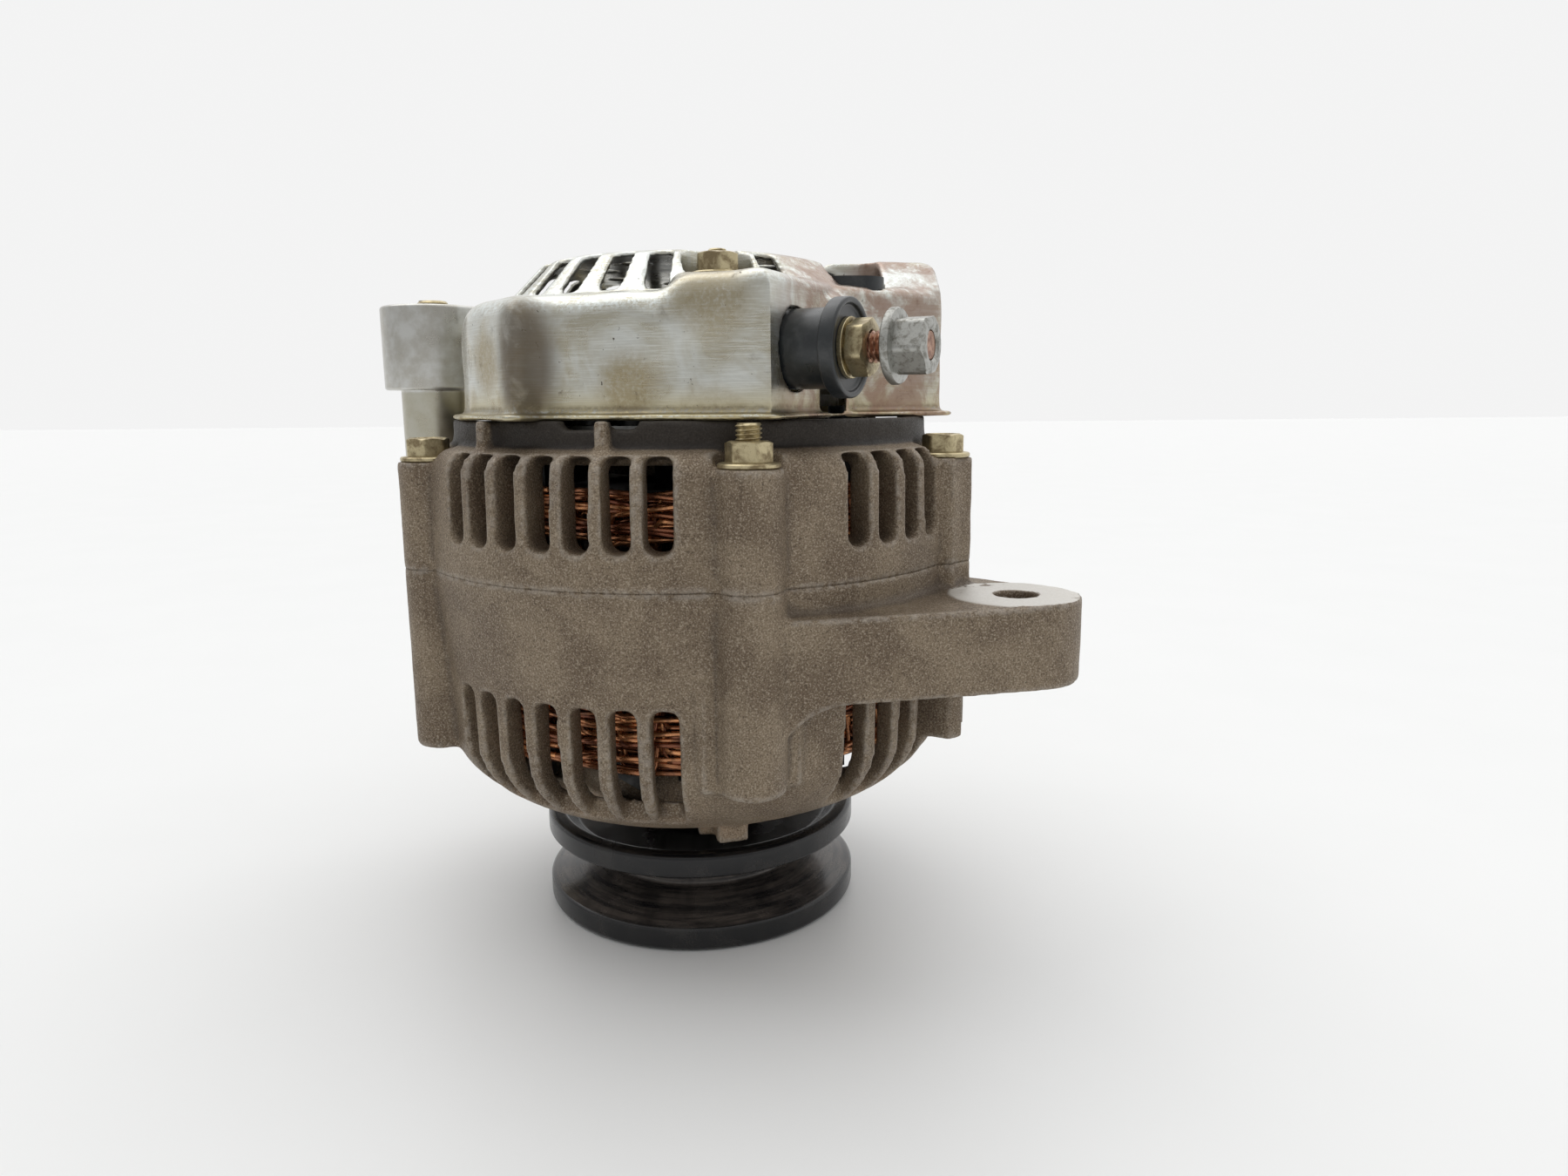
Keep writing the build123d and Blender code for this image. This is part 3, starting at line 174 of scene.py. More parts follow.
pivot = mounts["pivot_bore"]["pos_m"]
PIVOT_XY_MM = (pivot[0] / MM, pivot[1] / MM)
PIVOT_TOP = mounts["pivot_face"]["pos_m"][2]


def cast_aluminium():
    """Sand-textured, tarnished casting with paler rubbed edges and a bright machined ear."""
    s = Surface("cast_aluminium_tarnished")
    grain = s.noise(0.34, 4.0, 0.65)
    coarse = s.noise(1.5, 3.0, 0.6)
    patch = s.noise(17.0, 5.0, 0.6, 0.6)
    rust = s.noise(9.0, 4.0, 0.6, 0.3)
    edge = s.attribute("edge_wear")
    color = s.mix(s.span(patch, 0.36, 0.66), (0.148, 0.106, 0.068), (0.235, 0.180, 0.120))
    # rust tone low down, made lighter than the rust itself: partly real rust, partly painted light
    # bouncing up from the floor
    low = s.span(s.axis("Z"), 46 * MM, 28 * MM)
    rust_and_painted_bounce = s.math("MULTIPLY", low, s.span(rust, 0.42, 0.64, 0.15, 0.8))
    color = s.mix(rust_and_painted_bounce, color, (0.34, 0.240, 0.155))
    color = s.mix(s.span(grain, 0.50, 0.66, 0.0, 0.74), color, (0.41, 0.35, 0.27))
    color = s.mix(s.span(grain, 0.48, 0.32, 0.0, 0.82), color, (0.062, 0.045, 0.032))
    rubbed = s.math("MULTIPLY", s.span(edge, 0.22, 0.85), s.span(coarse, 0.34, 0.62))
    color = s.mix(s.math("MULTIPLY", rubbed, 0.46), color, (0.40, 0.36, 0.31))
    # darker in hollows
    hollow_darkening = s.span(edge, -0.10, -0.60)
    color = s.mix(s.math("MULTIPLY", hollow_darkening, 0.6), color, (0.06, 0.045, 0.034))
    # painted shade: near-black on the wall set back under the cover's flange, which the flange
    # shades
    painted_recess_shade = s.math(
        "MULTIPLY",
        s.span(s.axis("Z"), 109.6 * MM, 111.6 * MM),
        s.near((0, 0, 0), 56.0, 0.9, (1, 1, 0)),
    )
    color = s.mix(s.math("MULTIPLY", painted_recess_shade, 0.93), color, (0.014, 0.011, 0.009))
    flat = s.span(s.facing("Z"), 0.93, 0.985)
    ear = s.near((*PIVOT_XY_MM, PIVOT_TOP / MM), 14.5, 1.2)
    machined = s.math("MULTIPLY", flat, ear)
    machined = s.math("MULTIPLY", machined, s.span(s.noise(6.0, 4.0), 0.33, 0.40))
    top = s.span(s.axis("Z"), PIVOT_TOP - 0.6 * MM, PIVOT_TOP - 0.25 * MM)
    machined = s.math("MULTIPLY", machined, top)
    turning = s.noise(0.9, 3.0, 0.6)
    color = s.mix(machined, color, s.mix(turning, (0.56, 0.53, 0.48), (0.70, 0.68, 0.64)))
    s.bump(grain, 0.16, 0.75)
    s.bump(coarse, 0.22, 0.55)
    roughness = s.span(grain, 0.35, 0.70, 0.62, 0.42)
    return s.done(color, s.math("SUBTRACT", roughness, s.math("MULTIPLY", machined, 0.12)), 0.42)


# centre of the painted shade in the cover's scallop
SCALLOP_MM = (-32.0, -44.0, 127.5)
BLOCK_FACE_MM = (46.0, -11.0, 148.5)
STAINS_MM = (
    ((5.0, -46.0, 139.0), 12.0),
    ((-42.0, -36.0, 128.0), 9.0),
    ((-12.0, -48.0, 123.0), 9.0),
)


def zinc_sheet():
    """Zinc-plated drawn sheet: rubbing marks along it, brown stains with painted shade in the
    scallop, painted glints on upward-sloping faces, a yellow film low down.
    """
    s = Surface("zinc_plated_sheet")
    brushed = s.noise(2.4, 5.0, 0.7, 0.0, (0.35, 0.35, 9.0))
    cloud = s.noise(14.0, 4.0, 0.6, 0.8)
    speck = s.noise(0.8, 4.0, 0.7)
    stain = s.noise(8.0, 5.0, 0.65, 0.5)
    edge = s.attribute("edge_wear")
    color = s.mix(s.span(cloud, 0.35, 0.65), (0.47, 0.445, 0.355), (0.60, 0.61, 0.575))
    color = s.mix(s.span(brushed, 0.45, 0.62, 0.0, 0.5), color, (0.74, 0.755, 0.72))
    low = s.span(s.axis("Z"), 124.5 * MM, 117.0 * MM)
    yellow = s.math("MULTIPLY", low, s.span(cloud, 0.3, 0.6, 0.45, 0.9))
    color = s.mix(yellow, color, (0.55, 0.475, 0.27))
    # painted glints: pale specks only on faces that slope upward, where light from above would
    # glint
    upper = s.math("MULTIPLY", s.span(s.facing("Z"), 0.12, 0.40), s.span(s.facing("Z"), 0.97, 0.80))
    painted_glints = s.math("MULTIPLY", upper, s.span(speck, 0.42, 0.62))
    color = s.mix(s.math("MULTIPLY", painted_glints, 0.75), color, (0.78, 0.83, 0.82))
    olive = s.span(s.axis("Z"), 137 * MM, 121 * MM, 0.25, 1.0)
    olive = s.math("MULTIPLY", olive, s.span(s.noise(19.0, 4.0, 0.6, 0.7), 0.44, 0.66, 0.0, 0.75))
    for centre, reach in STAINS_MM:
        olive = s.math("MAXIMUM", olive, s.math("MULTIPLY", s.near(centre, reach, 6.0), 0.8))
    olive = s.math("MULTIPLY", olive, s.span(speck, 0.26, 0.60, 0.5, 1.0))
    color = s.mix(olive, color, (0.33, 0.265, 0.145))
    pits = s.math("MULTIPLY", s.span(s.noise(1.3, 3.0, 0.7), 0.66, 0.72), s.span(cloud, 0.45, 0.6))
    color = s.mix(pits, color, (0.07, 0.055, 0.04))
    # brown stains and darker hollows, joined below by the painted scallop shade; all of them also
    # make the sheet rougher
    hollow = s.span(edge, -0.10, -0.50)
    stains_and_painted_shade = s.math("MAXIMUM", s.math("MULTIPLY", hollow, 0.55), s.span(stain, 0.58, 0.76))
    # painted shade: a dark patch in the scallop at the cover's left, where the valley lies in shade
    scallop = s.near(SCALLOP_MM, 8.5, 5.0, (1, 1, 0.42))
    stains_and_painted_shade = s.math("MULTIPLY", stains_and_painted_shade, s.span(speck, 0.30, 0.60, 0.45, 1.0))
    shade = s.math("MULTIPLY", scallop, s.span(stain, 0.25, 0.50, 0.55, 0.95))
    stains_and_painted_shade = s.math("MAXIMUM", stains_and_painted_shade, shade)
    color = s.mix(s.math("MULTIPLY", stains_and_painted_shade, 0.86), color, (0.120, 0.090, 0.058))
    right = s.span(s.axis("X"), 13 * MM, 24 * MM)
    right = s.math("MULTIPLY", right, s.span(s.axis("Y"), 0.0, -22 * MM))
    block = s.near(BLOCK_FACE_MM, 17.0, 5.0, (1, 1.4, 2))
    pink = s.math("MULTIPLY", s.math("MAXIMUM", right, block), s.span(stain, 0.36, 0.56))
    color = s.mix(s.math("MULTIPLY", pink, 0.78), color, (0.27, 0.165, 0.120))
    s.bump(brushed, 0.05, 0.5)
    s.bump(speck, 0.06, 0.35)
    roughness = s.math("ADD", s.span(cloud, 0.3, 0.7, 0.24, 0.36), s.math("MULTIPLY", stains_and_painted_shade, 0.28))
    return s.done(color, roughness, 0.88)


PLATED_METALLIC = 0.9


def plated(name, light, dark, roughness=0.34, patch_mm=3.0, stained=0.8):
    """Plated steel with darker, duller patches."""
    s = Surface(name)
    patch = s.noise(patch_mm, 4.0, 0.65, 0.4)
    fine = s.noise(0.35, 3.0, 0.6)
    dull = s.math("MULTIPLY", s.span(patch, 0.44, 0.66), stained)
    color = s.mix(dull, light, dark)
    color = s.mix(s.span(fine, 0.56, 0.74, 0.0, 0.5), color, dark)
    s.bump(fine, 0.04, 0.5)
    s.bump(patch, 0.06, 0.4)
    return s.done(color, s.math("ADD", s.math("MULTIPLY", dull, 0.22), roughness), PLATED_METALLIC)


def turned_steel():
    """Zinc-plated turned steel, with faint rings round the shaft and a yellower lower sleeve."""
    s = Surface("turned_zinc_steel")
    rings = s.noise(1.6, 4.0, 0.7, 0.0, (0.2, 0.2, 6.0))
    mottled = s.noise(5.0, 4.0, 0.6)
    low = s.span(s.axis("Z"), 123.4 * MM, 122.6 * MM)
    color = s.mix(s.span(mottled, 0.36, 0.66), (0.47, 0.455, 0.41), (0.60, 0.60, 0.575))
    color = s.mix(s.math("MULTIPLY", low, 0.6), color, (0.36, 0.335, 0.24))
    s.bump(rings, 0.04, 0.4)
    return s.done(color, s.span(mottled, 0.3, 0.7, 0.27, 0.34), 0.93)


def black_enamel():
    """Glossy black enamel with faint turned rings, rubbed to brown-grey metal in the groove and
    lightened there as a painted sheen along the rings.
    """
    s = Surface("black_enamel")
    dust = s.noise(9.0, 5.0, 0.6, 0.4)
    speck = s.noise(0.5, 3.0, 0.6)
    rings = s.noise(2.2, 4.0, 0.7, 0.0, (0.12, 0.12, 5.0))
    color = s.mix(s.span(dust, 0.40, 0.72, 0.0, 0.6), (0.011, 0.011, 0.012), (0.036, 0.033, 0.031))
    # brown-grey in the groove: partly belt wear, partly a painted sheen that follows the turned
    # rings
    wear_and_painted_sheen = s.math("MULTIPLY", s.attribute("groove"), s.span(rings, 0.30, 0.66))
    wear_and_painted_sheen = s.math("MULTIPLY", wear_and_painted_sheen, s.span(dust, 0.25, 0.60, 0.25, 0.85))
    color = s.mix(wear_and_painted_sheen, color, (0.120, 0.100, 0.086))
    color = s.mix(s.span(speck, 0.66, 0.80, 0.0, 0.25), color, (0.10, 0.095, 0.09))
    s.bump(rings, 0.07, 0.5)
    return s.done(color, s.span(dust, 0.3, 0.7, 0.17, 0.30), 0.20)


def copper_wire():
    """Varnished copper wire; each wire has its own tone."""
    s = Surface("varnished_copper_wire")
    tone = s.attribute("tone")
    patch = s.noise(2.5, 3.0, 0.6)
    color = s.mix(tone, (0.20, 0.062, 0.030), (0.86, 0.40, 0.17))
    color = s.mix(s.span(patch, 0.48, 0.68, 0.0, 0.75), color, (0.075, 0.026, 0.018))
    roughness = s.span(patch, 0.3, 0.7, 0.20, 0.38)
    return s.done(color, roughness, 0.86, Coat_Weight=0.35, Coat_Roughness=0.15)


def bare_copper():
    """Dulled bare copper and brass."""
    s = Surface("dulled_copper")
    patch = s.noise(1.6, 4.0, 0.6, 0.3)
    color = s.mix(s.span(patch, 0.35, 0.65), (0.20, 0.095, 0.062), (0.45, 0.26, 0.175))
    s.bump(patch, 0.05, 0.4)
    return s.done(color, s.span(patch, 0.3, 0.7, 0.42, 0.28), 0.9)


def black_plastic():
    """Semi-gloss moulded black plastic with a little dust and a very fine grain."""
    s = Surface("moulded_black_plastic")
    grain = s.noise(0.3, 3.0, 0.6)
    dust = s.noise(4.5, 5.0, 0.65, 0.3)
    color = s.mix(s.span(dust, 0.45, 0.72), (0.017, 0.020, 0.022), (0.045, 0.047, 0.048))
    s.bump(grain, 0.03, 0.35)
    s.bump(dust, 0.10, 0.12)
    return s.done(color, s.span(dust, 0.3, 0.7, 0.27, 0.40), 0.0)


def mottled(name, light, dark, roughness, metallic, size_mm=3.0, bump_mm=0.04):
    """A plain two-tone finish for the pieces inside."""
    s = Surface(name)
    patch = s.noise(size_mm, 4.0, 0.6, 0.2)
    fine = s.noise(size_mm * 0.15, 3.0, 0.6)
    color = s.mix(s.span(patch, 0.35, 0.65), dark, light)
    s.bump(fine, bump_mm, 0.5)
    return s.done(color, s.span(patch, 0.3, 0.7, roughness + 0.08, roughness - 0.05), metallic)


finishes = {
    "cast_aluminium": cast_aluminium(),
    "zinc_sheet": zinc_sheet(),
    "yellow_zinc": plated("yellow_zinc_plating", (0.52, 0.445, 0.275), (0.175, 0.125, 0.065)),
    "grey_zinc": plated(
        "grey_zinc_plating", (0.41, 0.41, 0.385), (0.15, 0.14, 0.115), 0.36, 1.4, 0.7,
    ),
    "machined_steel": turned_steel(),
    "black_steel": black_enamel(),
    "bearing_steel": mottled(
        "ground_bearing_steel", (0.66, 0.66, 0.67), (0.50, 0.50, 0.51), 0.18, 1.0, 5.0, 0.01,
    ),
    "plain_steel": mottled("oiled_steel", (0.42, 0.41, 0.39), (0.24, 0.22, 0.20), 0.36, 0.9),
    "iron": mottled(
        "lacquered_iron", (0.13, 0.115, 0.10), (0.06, 0.05, 0.045), 0.5, 0.6, 2.0, 0.08,
    ),
    "fan_steel": mottled(
        "black_oxide_steel", (0.035, 0.034, 0.033), (0.014, 0.014, 0.014), 0.42, 0.5,
    ),
    "copper_winding": copper_wire(),
    "copper": bare_copper(),
    "sink_aluminium": mottled(
        "pressed_aluminium", (0.60, 0.60, 0.59), (0.42, 0.42, 0.41), 0.38, 0.9,
    ),
    "black_plastic": black_plastic(),
    "carbon": mottled(
        "carbon_brush", (0.06, 0.058, 0.056), (0.028, 0.027, 0.026), 0.55, 0.2, 1.0,
    ),
    "spring_steel": mottled("spring_steel", (0.55, 0.54, 0.52), (0.38, 0.37, 0.36), 0.3, 1.0),
}

# ---------------------------------------------------------------- mesh helpers


def solids(name):
    """The boxes (low, high) of the separate solids in a CAD node, ordered by x."""
    work = bmesh.new()
    work.from_mesh(nodes[name].data)
    bmesh.ops.remove_doubles(work, verts=work.verts, dist=1e-6)
    seen, boxes = set(), []
    for start in work.verts:
        if start in seen:
            continue
        stack, part = [start], []
        seen.add(start)
        while stack:
            vert = stack.pop()
            part.append(vert.co.copy())
            for edge in vert.link_edges:
                other = edge.other_vert(vert)
                if other not in seen:
                    seen.add(other)
                    stack.append(other)
        boxes.append((Vector(map(min, *part)), Vector(map(max, *part))))
    work.free()
    return sorted(boxes, key=lambda box: (round(box[0].x, 6), box[0].y))


def middle(box):
    return (box[0] + box[1]) / 2


def show(name, mesh, body, slot, *replaced):
    """Put a mesh in the scene as a piece that rides on a body and stands for CAD nodes."""
    piece = bpy.data.objects.new(name, mesh)
    bpy.context.scene.collection.objects.link(piece)
    mesh.materials.clear()
    mesh.materials.append(finishes[slot])
    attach(piece, body)
    if replaced:
        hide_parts(*replaced)
    return piece


def mesh_from(name, verts, faces):
    """A smooth-shaded mesh from vertices in metres and faces."""
    mesh = bpy.data.meshes.new(name)
    mesh.from_pydata([tuple(v) for v in verts], [], faces)
    mesh.validate()
    mesh.shade_smooth()
    return mesh


def rounded(points, radius, steps=3):
    """An open outline with each inner corner replaced by a short arc."""
    result = [points[0]]
    for before, at, after in zip(points, points[1:], points[2:]):
        a, p, b = Vector(before), Vector(at), Vector(after)
        reach = min(radius, (a - p).length * 0.45, (b - p).length * 0.45)
        start, end = p + (a - p).normalized() * reach, p + (b - p).normalized() * reach
        for i in range(steps + 1):
            t = i / steps
            result.append(tuple(start.lerp(p, t).lerp(p.lerp(end, t), t)))
    result.append(points[-1])
    return result


def lathe(profile, turns=96, radius_at=None):
    """Vertices and faces of a turned surface from (radius, height) rows in millimetres.
    radius_at(row, radius, height, angle) may change a row's radius and height round the turn."""
    verts, faces = [], []
    for row, (radius, height) in enumerate(profile):
        for i in range(turns):
            angle = 2 * math.pi * i / turns
            r, h = radius_at(row, radius, height, angle) if radius_at else (radius, height)
            verts.append((r * math.cos(angle) * MM, r * math.sin(angle) * MM, h * MM))
    rows = len(profile)
    for row in range(rows - 1):
        for i in range(turns):
            j = (i + 1) % turns
            low, high = row * turns, (row + 1) * turns
            faces.append((low + i, low + j, high + j, high + i))
    return verts, faces


def closed_lathe(profile, turns=96, radius_at=None):
    """A turned ring whose last row joins its first."""
    verts, faces = lathe(profile, turns, radius_at)
    last = (len(profile) - 1) * turns
    for i in range(turns):
        j = (i + 1) % turns
        faces.append((last + i, last + j, j, i))
    return verts, faces


def capped_lathe(profile, turns=96, radius_at=None):
    """A turned solid bar with a flat cap at each end."""
    verts, faces = lathe(profile, turns, radius_at)
    last = (len(profile) - 1) * turns
    faces.append(tuple(range(turns - 1, -1, -1)))
    faces.append(tuple(last + i for i in range(turns)))
    return verts, faces


def placed(shape, matrix):
    verts, faces = shape
    return [matrix @ Vector(v) for v in verts], faces


def joined(shapes):
    verts, faces = [], []
    for some_verts, some_faces in shapes:
        start = len(verts)
        verts.extend(some_verts)
        faces.extend(tuple(i + start for i in face) for face in some_faces)
    return verts, faces


def standing(x, y, z, turn=0.0):
    return Matrix.Translation((x, y, z)) @ Matrix.Rotation(turn, 4, "Z")


def sharpen(mesh, degrees=32.0):
    mesh.shade_smooth()
    mesh.set_sharp_from_angle(angle=math.radians(degrees))


# ---------------------------------------------------------------- castings and cover


def voxel_copy(name, voxel_mm, relax_rounds):
    """A CAD node's shape as an even mesh of small quads, with its edges softened."""
    source = bpy.data.objects.new("work", nodes[name].data.copy())
    bpy.context.scene.collection.objects.link(source)
    weld = source.modifiers.new("weld", "WELD")
    weld.merge_threshold = 1e-6
    remesh = source.modifiers.new("remesh", "REMESH")
    remesh.mode = "VOXEL"
    remesh.voxel_size = voxel_mm * MM
    soften = source.modifiers.new("soften", "SMOOTH")
    soften.factor = 0.5
    soften.iterations = relax_rounds
    graph = bpy.context.evaluated_depsgraph_get()
    mesh = bpy.data.meshes.new_from_object(source.evaluated_get(graph))
    bpy.data.objects.remove(source)
    mesh.name = name + "_mesh"
    return mesh


FILL_SHARE = 0.9  # of the way to the average of a vertex's neighbours, in each round


class Relief:
    """Moves the vertices of an even mesh: smoothing, filling inner corners, and marking edges."""

    def __init__(self, mesh):
        self.mesh = mesh
        count = len(mesh.vertices)
        self.at = np.empty(count * 3)
        mesh.vertices.foreach_get("co", self.at)
        self.at = self.at.reshape(-1, 3)
        edges = np.empty(len(mesh.edges) * 2, np.int64)
        mesh.edges.foreach_get("vertices", edges)
        self.a, self.b = edges.reshape(-1, 2).T
        self.valence = np.bincount(self.a, minlength=count) + np.bincount(self.b, minlength=count)

    def blurred(self, values):
        total = np.empty_like(values)
        for k in range(values.shape[1]):
            total[:, k] = np.bincount(self.a, values[self.b, k], len(values))
            total[:, k] += np.bincount(self.b, values[self.a, k], len(values))
        return total / self.valence[:, None]

    def normals(self):
        self.mesh.vertices.foreach_set("co", self.at.ravel())
        self.mesh.update()
        out = np.empty(len(self.at) * 3, np.float32)
        self.mesh.vertex_normals.foreach_get("vector", out)
        return out.reshape(-1, 3).astype(float)

    def fill_corners(self, rounds):
        """Let inner corners fill up into fillets; outer edges stay."""
        for i in range(rounds):
            if i % 4 == 0:
                normal = self.normals()
            step = ((self.blurred(self.at) - self.at) * normal).sum(1)
            self.at += normal * (np.clip(step, 0, None) * FILL_SHARE)[:, None]

    def smooth(self, rounds, factor=0.5):
        for _ in range(rounds):
            self.at += (self.blurred(self.at) - self.at) * factor

    def mark_edges(self, rounds, full_mm):
        """Store how convex (above 0) or hollow (below 0) each place is."""
        blurred = self.at
        for _ in range(rounds):
            blurred = self.blurred(blurred)
        convex = ((self.at - blurred) * self.normals()).sum(1) / (full_mm * MM)
        layer = self.mesh.attributes.new("edge_wear", "FLOAT", "POINT")
        layer.data.foreach_set("value", np.clip(convex, -1, 1).astype(np.float32))

    def done(self, box):
        """Write the vertices back, none of them outside a box."""
        self.at = np.clip(self.at, np.array(box[0]), np.array(box[1]))
        self.mesh.vertices.foreach_set("co", self.at.ravel())
        self.mesh.update()
        self.mesh.shade_smooth()


def waves(at, length_mm, seed):
    """A smooth, seeded, uneven field between about -1 and 1."""
    rng = np.random.default_rng(seed)
    total = np.zeros(len(at))
    for _ in range(10):
        direction = rng.normal(size=3)
        direction /= np.linalg.norm(direction)
        wave = 2 * math.pi / (length_mm * MM * rng.uniform(0.6, 1.6))
        total += np.sin(at @ direction * wave + rng.uniform(0, 2 * math.pi))
    return total / 4


VOXEL_MM = 0.62
COVER_VOXEL_MM = 0.5
LUMPS_MM = (9.0, 0.05)  # length and height of a casting's long unevenness
RIPPLE_MM = (3.0, 0.018)  # and of its short unevenness
COVER_LUMPS_MM = (16.0, 0.10)
PARTING_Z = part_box("rectifier_end_frame")[0].z
SEAM_CLOSE_MM = 0.45
SEAM_SOFT_MM = 1.1


def casting(name, seed, toward_seam):
    """One end frame as a sand casting, drawn to the parting line so that the seam nearly closes."""
    mesh = voxel_copy(name, VOXEL_MM, 3)
    relief = Relief(mesh)
    relief.fill_corners(8)
    relief.smooth(2)
    uneven = waves(relief.at, LUMPS_MM[0], seed) * LUMPS_MM[1]
    uneven += waves(relief.at, RIPPLE_MM[0], seed + 1) * RIPPLE_MM[1]
    relief.at += relief.normals() * (uneven * MM)[:, None]
    close = np.exp(-((relief.at[:, 2] - PARTING_Z) / (SEAM_SOFT_MM * MM)) ** 2)
    relief.at[:, 2] += toward_seam * SEAM_CLOSE_MM * MM * close
    relief.mark_edges(7, 0.34)
    relief.done(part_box(name))
    return show(name + "_casting", mesh, "housing", "cast_aluminium", name)


casting("drive_end_frame", 3, 1)
casting("rectifier_end_frame", 7, -1)


def between(values, low, high):
    """A smooth step from 0 at low to 1 at high."""
    t = np.clip((values - low) / (high - low), 0, 1)
    return t * t * (3 - 2 * t)


def cover():
    """The deep-drawn cover: its steps, corners and the scallop at its left flow into each other."""
    mesh = voxel_copy("rear_cover", COVER_VOXEL_MM, 2)
    relief = Relief(mesh)
    x, y, z = relief.at.T
    out = np.hypot(x, y)
    above_flange = between(z, 118.6 * MM, 121.5 * MM)
    off_slots = np.maximum(between(out, 44.5 * MM, 46.5 * MM), between(z, 141.2 * MM, 139.0 * MM))
    off_bores = np.ones(len(z))
    for node, clear in (("b_plus_insulator", 12.5), ("connector_socket", 13.0)):
        centre = middle(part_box(node))
        away = np.hypot(x - centre.x, y - centre.y)
        off_bores *= between(away, clear * MM, (clear + 3.0) * MM)
    left = between(x, -12 * MM, -22 * MM) * between(y, 10 * MM, -5 * MM)
    step = between(np.abs(x - 1.0 * MM), 13 * MM, 6 * MM)
    step *= between(z, 134 * MM, 138 * MM) * between(y, -20 * MM, -30 * MM)
    gentle = above_flange * off_slots * off_bores
    scale = 1.0
    relief.smooth(int(16 * scale), 0.5 * gentle[:, None])
    relief.smooth(int(90 * scale), 0.5 * (gentle * left)[:, None])
    relief.smooth(int(160 * scale), 0.5 * (gentle * step)[:, None])
    relief.smooth(2)
    uneven = waves(relief.at, COVER_LUMPS_MM[0], 21) * COVER_LUMPS_MM[1]
    relief.at += relief.normals() * (uneven * MM)[:, None]
    relief.mark_edges(9, 0.30)
    relief.done(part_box("rear_cover"))
    return show("rear_cover_sheet", mesh, "housing", "zinc_sheet", "rear_cover")


cover()

# ---------------------------------------------------------------- pulley

pulley_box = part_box("pulley")
PULLEY_R = pulley_box[1].x / MM
PULLEY_TOP = pulley_box[1].z / MM
PULLEY_TURNS = 192


def pulley():
    """The pulley's turned outline, with rolled rims, a V groove and a dished inner face."""
    outline = [
        (16.6, 0.0), (37.2, 0.0), (PULLEY_R, 0.8), (PULLEY_R, 5.1), (37.5, 5.6), (25.0, 9.6),
        (25.0, 13.3), (37.5, 17.3), (PULLEY_R, 17.8), (PULLEY_R, 21.9), (37.2, PULLEY_TOP),
        (34.5, PULLEY_TOP), (31.0, 19.6), (17.0, 19.6), (14.0, PULLEY_TOP), (7.5, PULLEY_TOP),
        (7.5, 9.5), (16.0, 9.5), (16.0, 0.6),
    ]
    profile = rounded(outline + outline[:2], 0.7)[1:-1]
    verts, faces = closed_lathe(profile, PULLEY_TURNS)
    mesh = mesh_from("pulley_mesh", verts, faces)
    layer = mesh.attributes.new("groove", "FLOAT", "POINT")
    values = [1.0 if r < PULLEY_R - 0.6 and 5.0 < z < 17.9 and r > 20 else 0.0 for r, z in profile]
    layer.data.foreach_set("value", np.repeat(np.array(values, np.float32), PULLEY_TURNS))
    sharpen(mesh, 50)
    return show("v_pulley", mesh, "rotor", "black_steel", "pulley")


pulley()

# ---------------------------------------------------------------- nuts, studs and bolts

SMALL_NUT_FLATS_MM = 8.0  # of the nuts on the frame and cover studs
TERMINAL_NUT_FLATS_MM = 10.0
BOLT_HEAD_MM = (13.0, 5.3)  # across flats, and high
FRAME_THREAD_MM = 16  # length of thread at the end of a stud, here and below
COVER_THREAD_MM = 12
BOLT_THREAD_MM = 30
COVER_STUD_END_MM = 6.9  # how far a cover stud stands out of its spacer


def nut_shape(flats_mm, height_mm, bore_r, flange_r=None, turns=96):
    """A hexagon nut, chamfered at its top, on an optional sloping flange."""
    half = flats_mm / 2
    corner = half * 1.12
    foot = height_mm * 0.20 if flange_r else 0.25

    def at(_, radius, height, angle):
        turn = (angle % (math.pi / 3)) - math.pi / 6
        flat = min(half / math.cos(turn), corner)
        if radius == "hex_foot":
            return flat, height
        if radius == "hex_top":
            return flat, height_mm - max(0.0, (flat - half * 0.93)) * 0.58
        return radius, height

    base = flange_r or half * 0.96
    profile = [
        (bore_r, 0.3), (bore_r + 0.3, 0.0), (base - 0.25, 0.0), (base, 0.25), (base, foot * 0.75),
        (base - 0.25, foot) if flange_r else (half * 0.96, 0.25),
        ("hex_foot", foot * 1.25 if flange_r else 0.5), ("hex_foot", height_mm * 0.5),
        ("hex_top", 0), (half * 0.90, height_mm), (bore_r + 0.55, height_mm),
        (bore_r, height_mm - 0.5),
    ]
    return closed_lathe(profile, turns, at)


def threaded(radius, length, pitch, plain=0.0, tip=0.5, turns=40):
    """A stud that stands on z = 0: plain at first, then a helical thread to a bevelled tip."""
    depth = pitch * 0.55
    rows = max(4, int((length - plain) / pitch * 8))
    heights = [0.0] if plain > 0 else []
    heights += [plain + (length - plain) * i / rows for i in range(rows + 1)]

    def at(row, _, height, angle):
        if height < plain or (plain > 0 and row == 0):
            return radius, height
        phase = (height / pitch - angle / (2 * math.pi)) % 1.0
        wave = abs(2 * phase - 1)
        crest = min(1.0, max(0.0, wave * 1.25 - 0.12))
        r = radius - depth * (1 - crest)
        end = length - height
        if end < tip:
            r = min(r, radius - depth * 0.9 + end * 0.9)
        return r, height

    return capped_lathe([(radius, h) for h in heights], turns, at)


def show_fasteners(name, shapes, node):
    mesh = mesh_from(name + "_mesh", *joined(shapes))
    sharpen(mesh)
    show(name, mesh, "housing", "yellow_zinc", node)


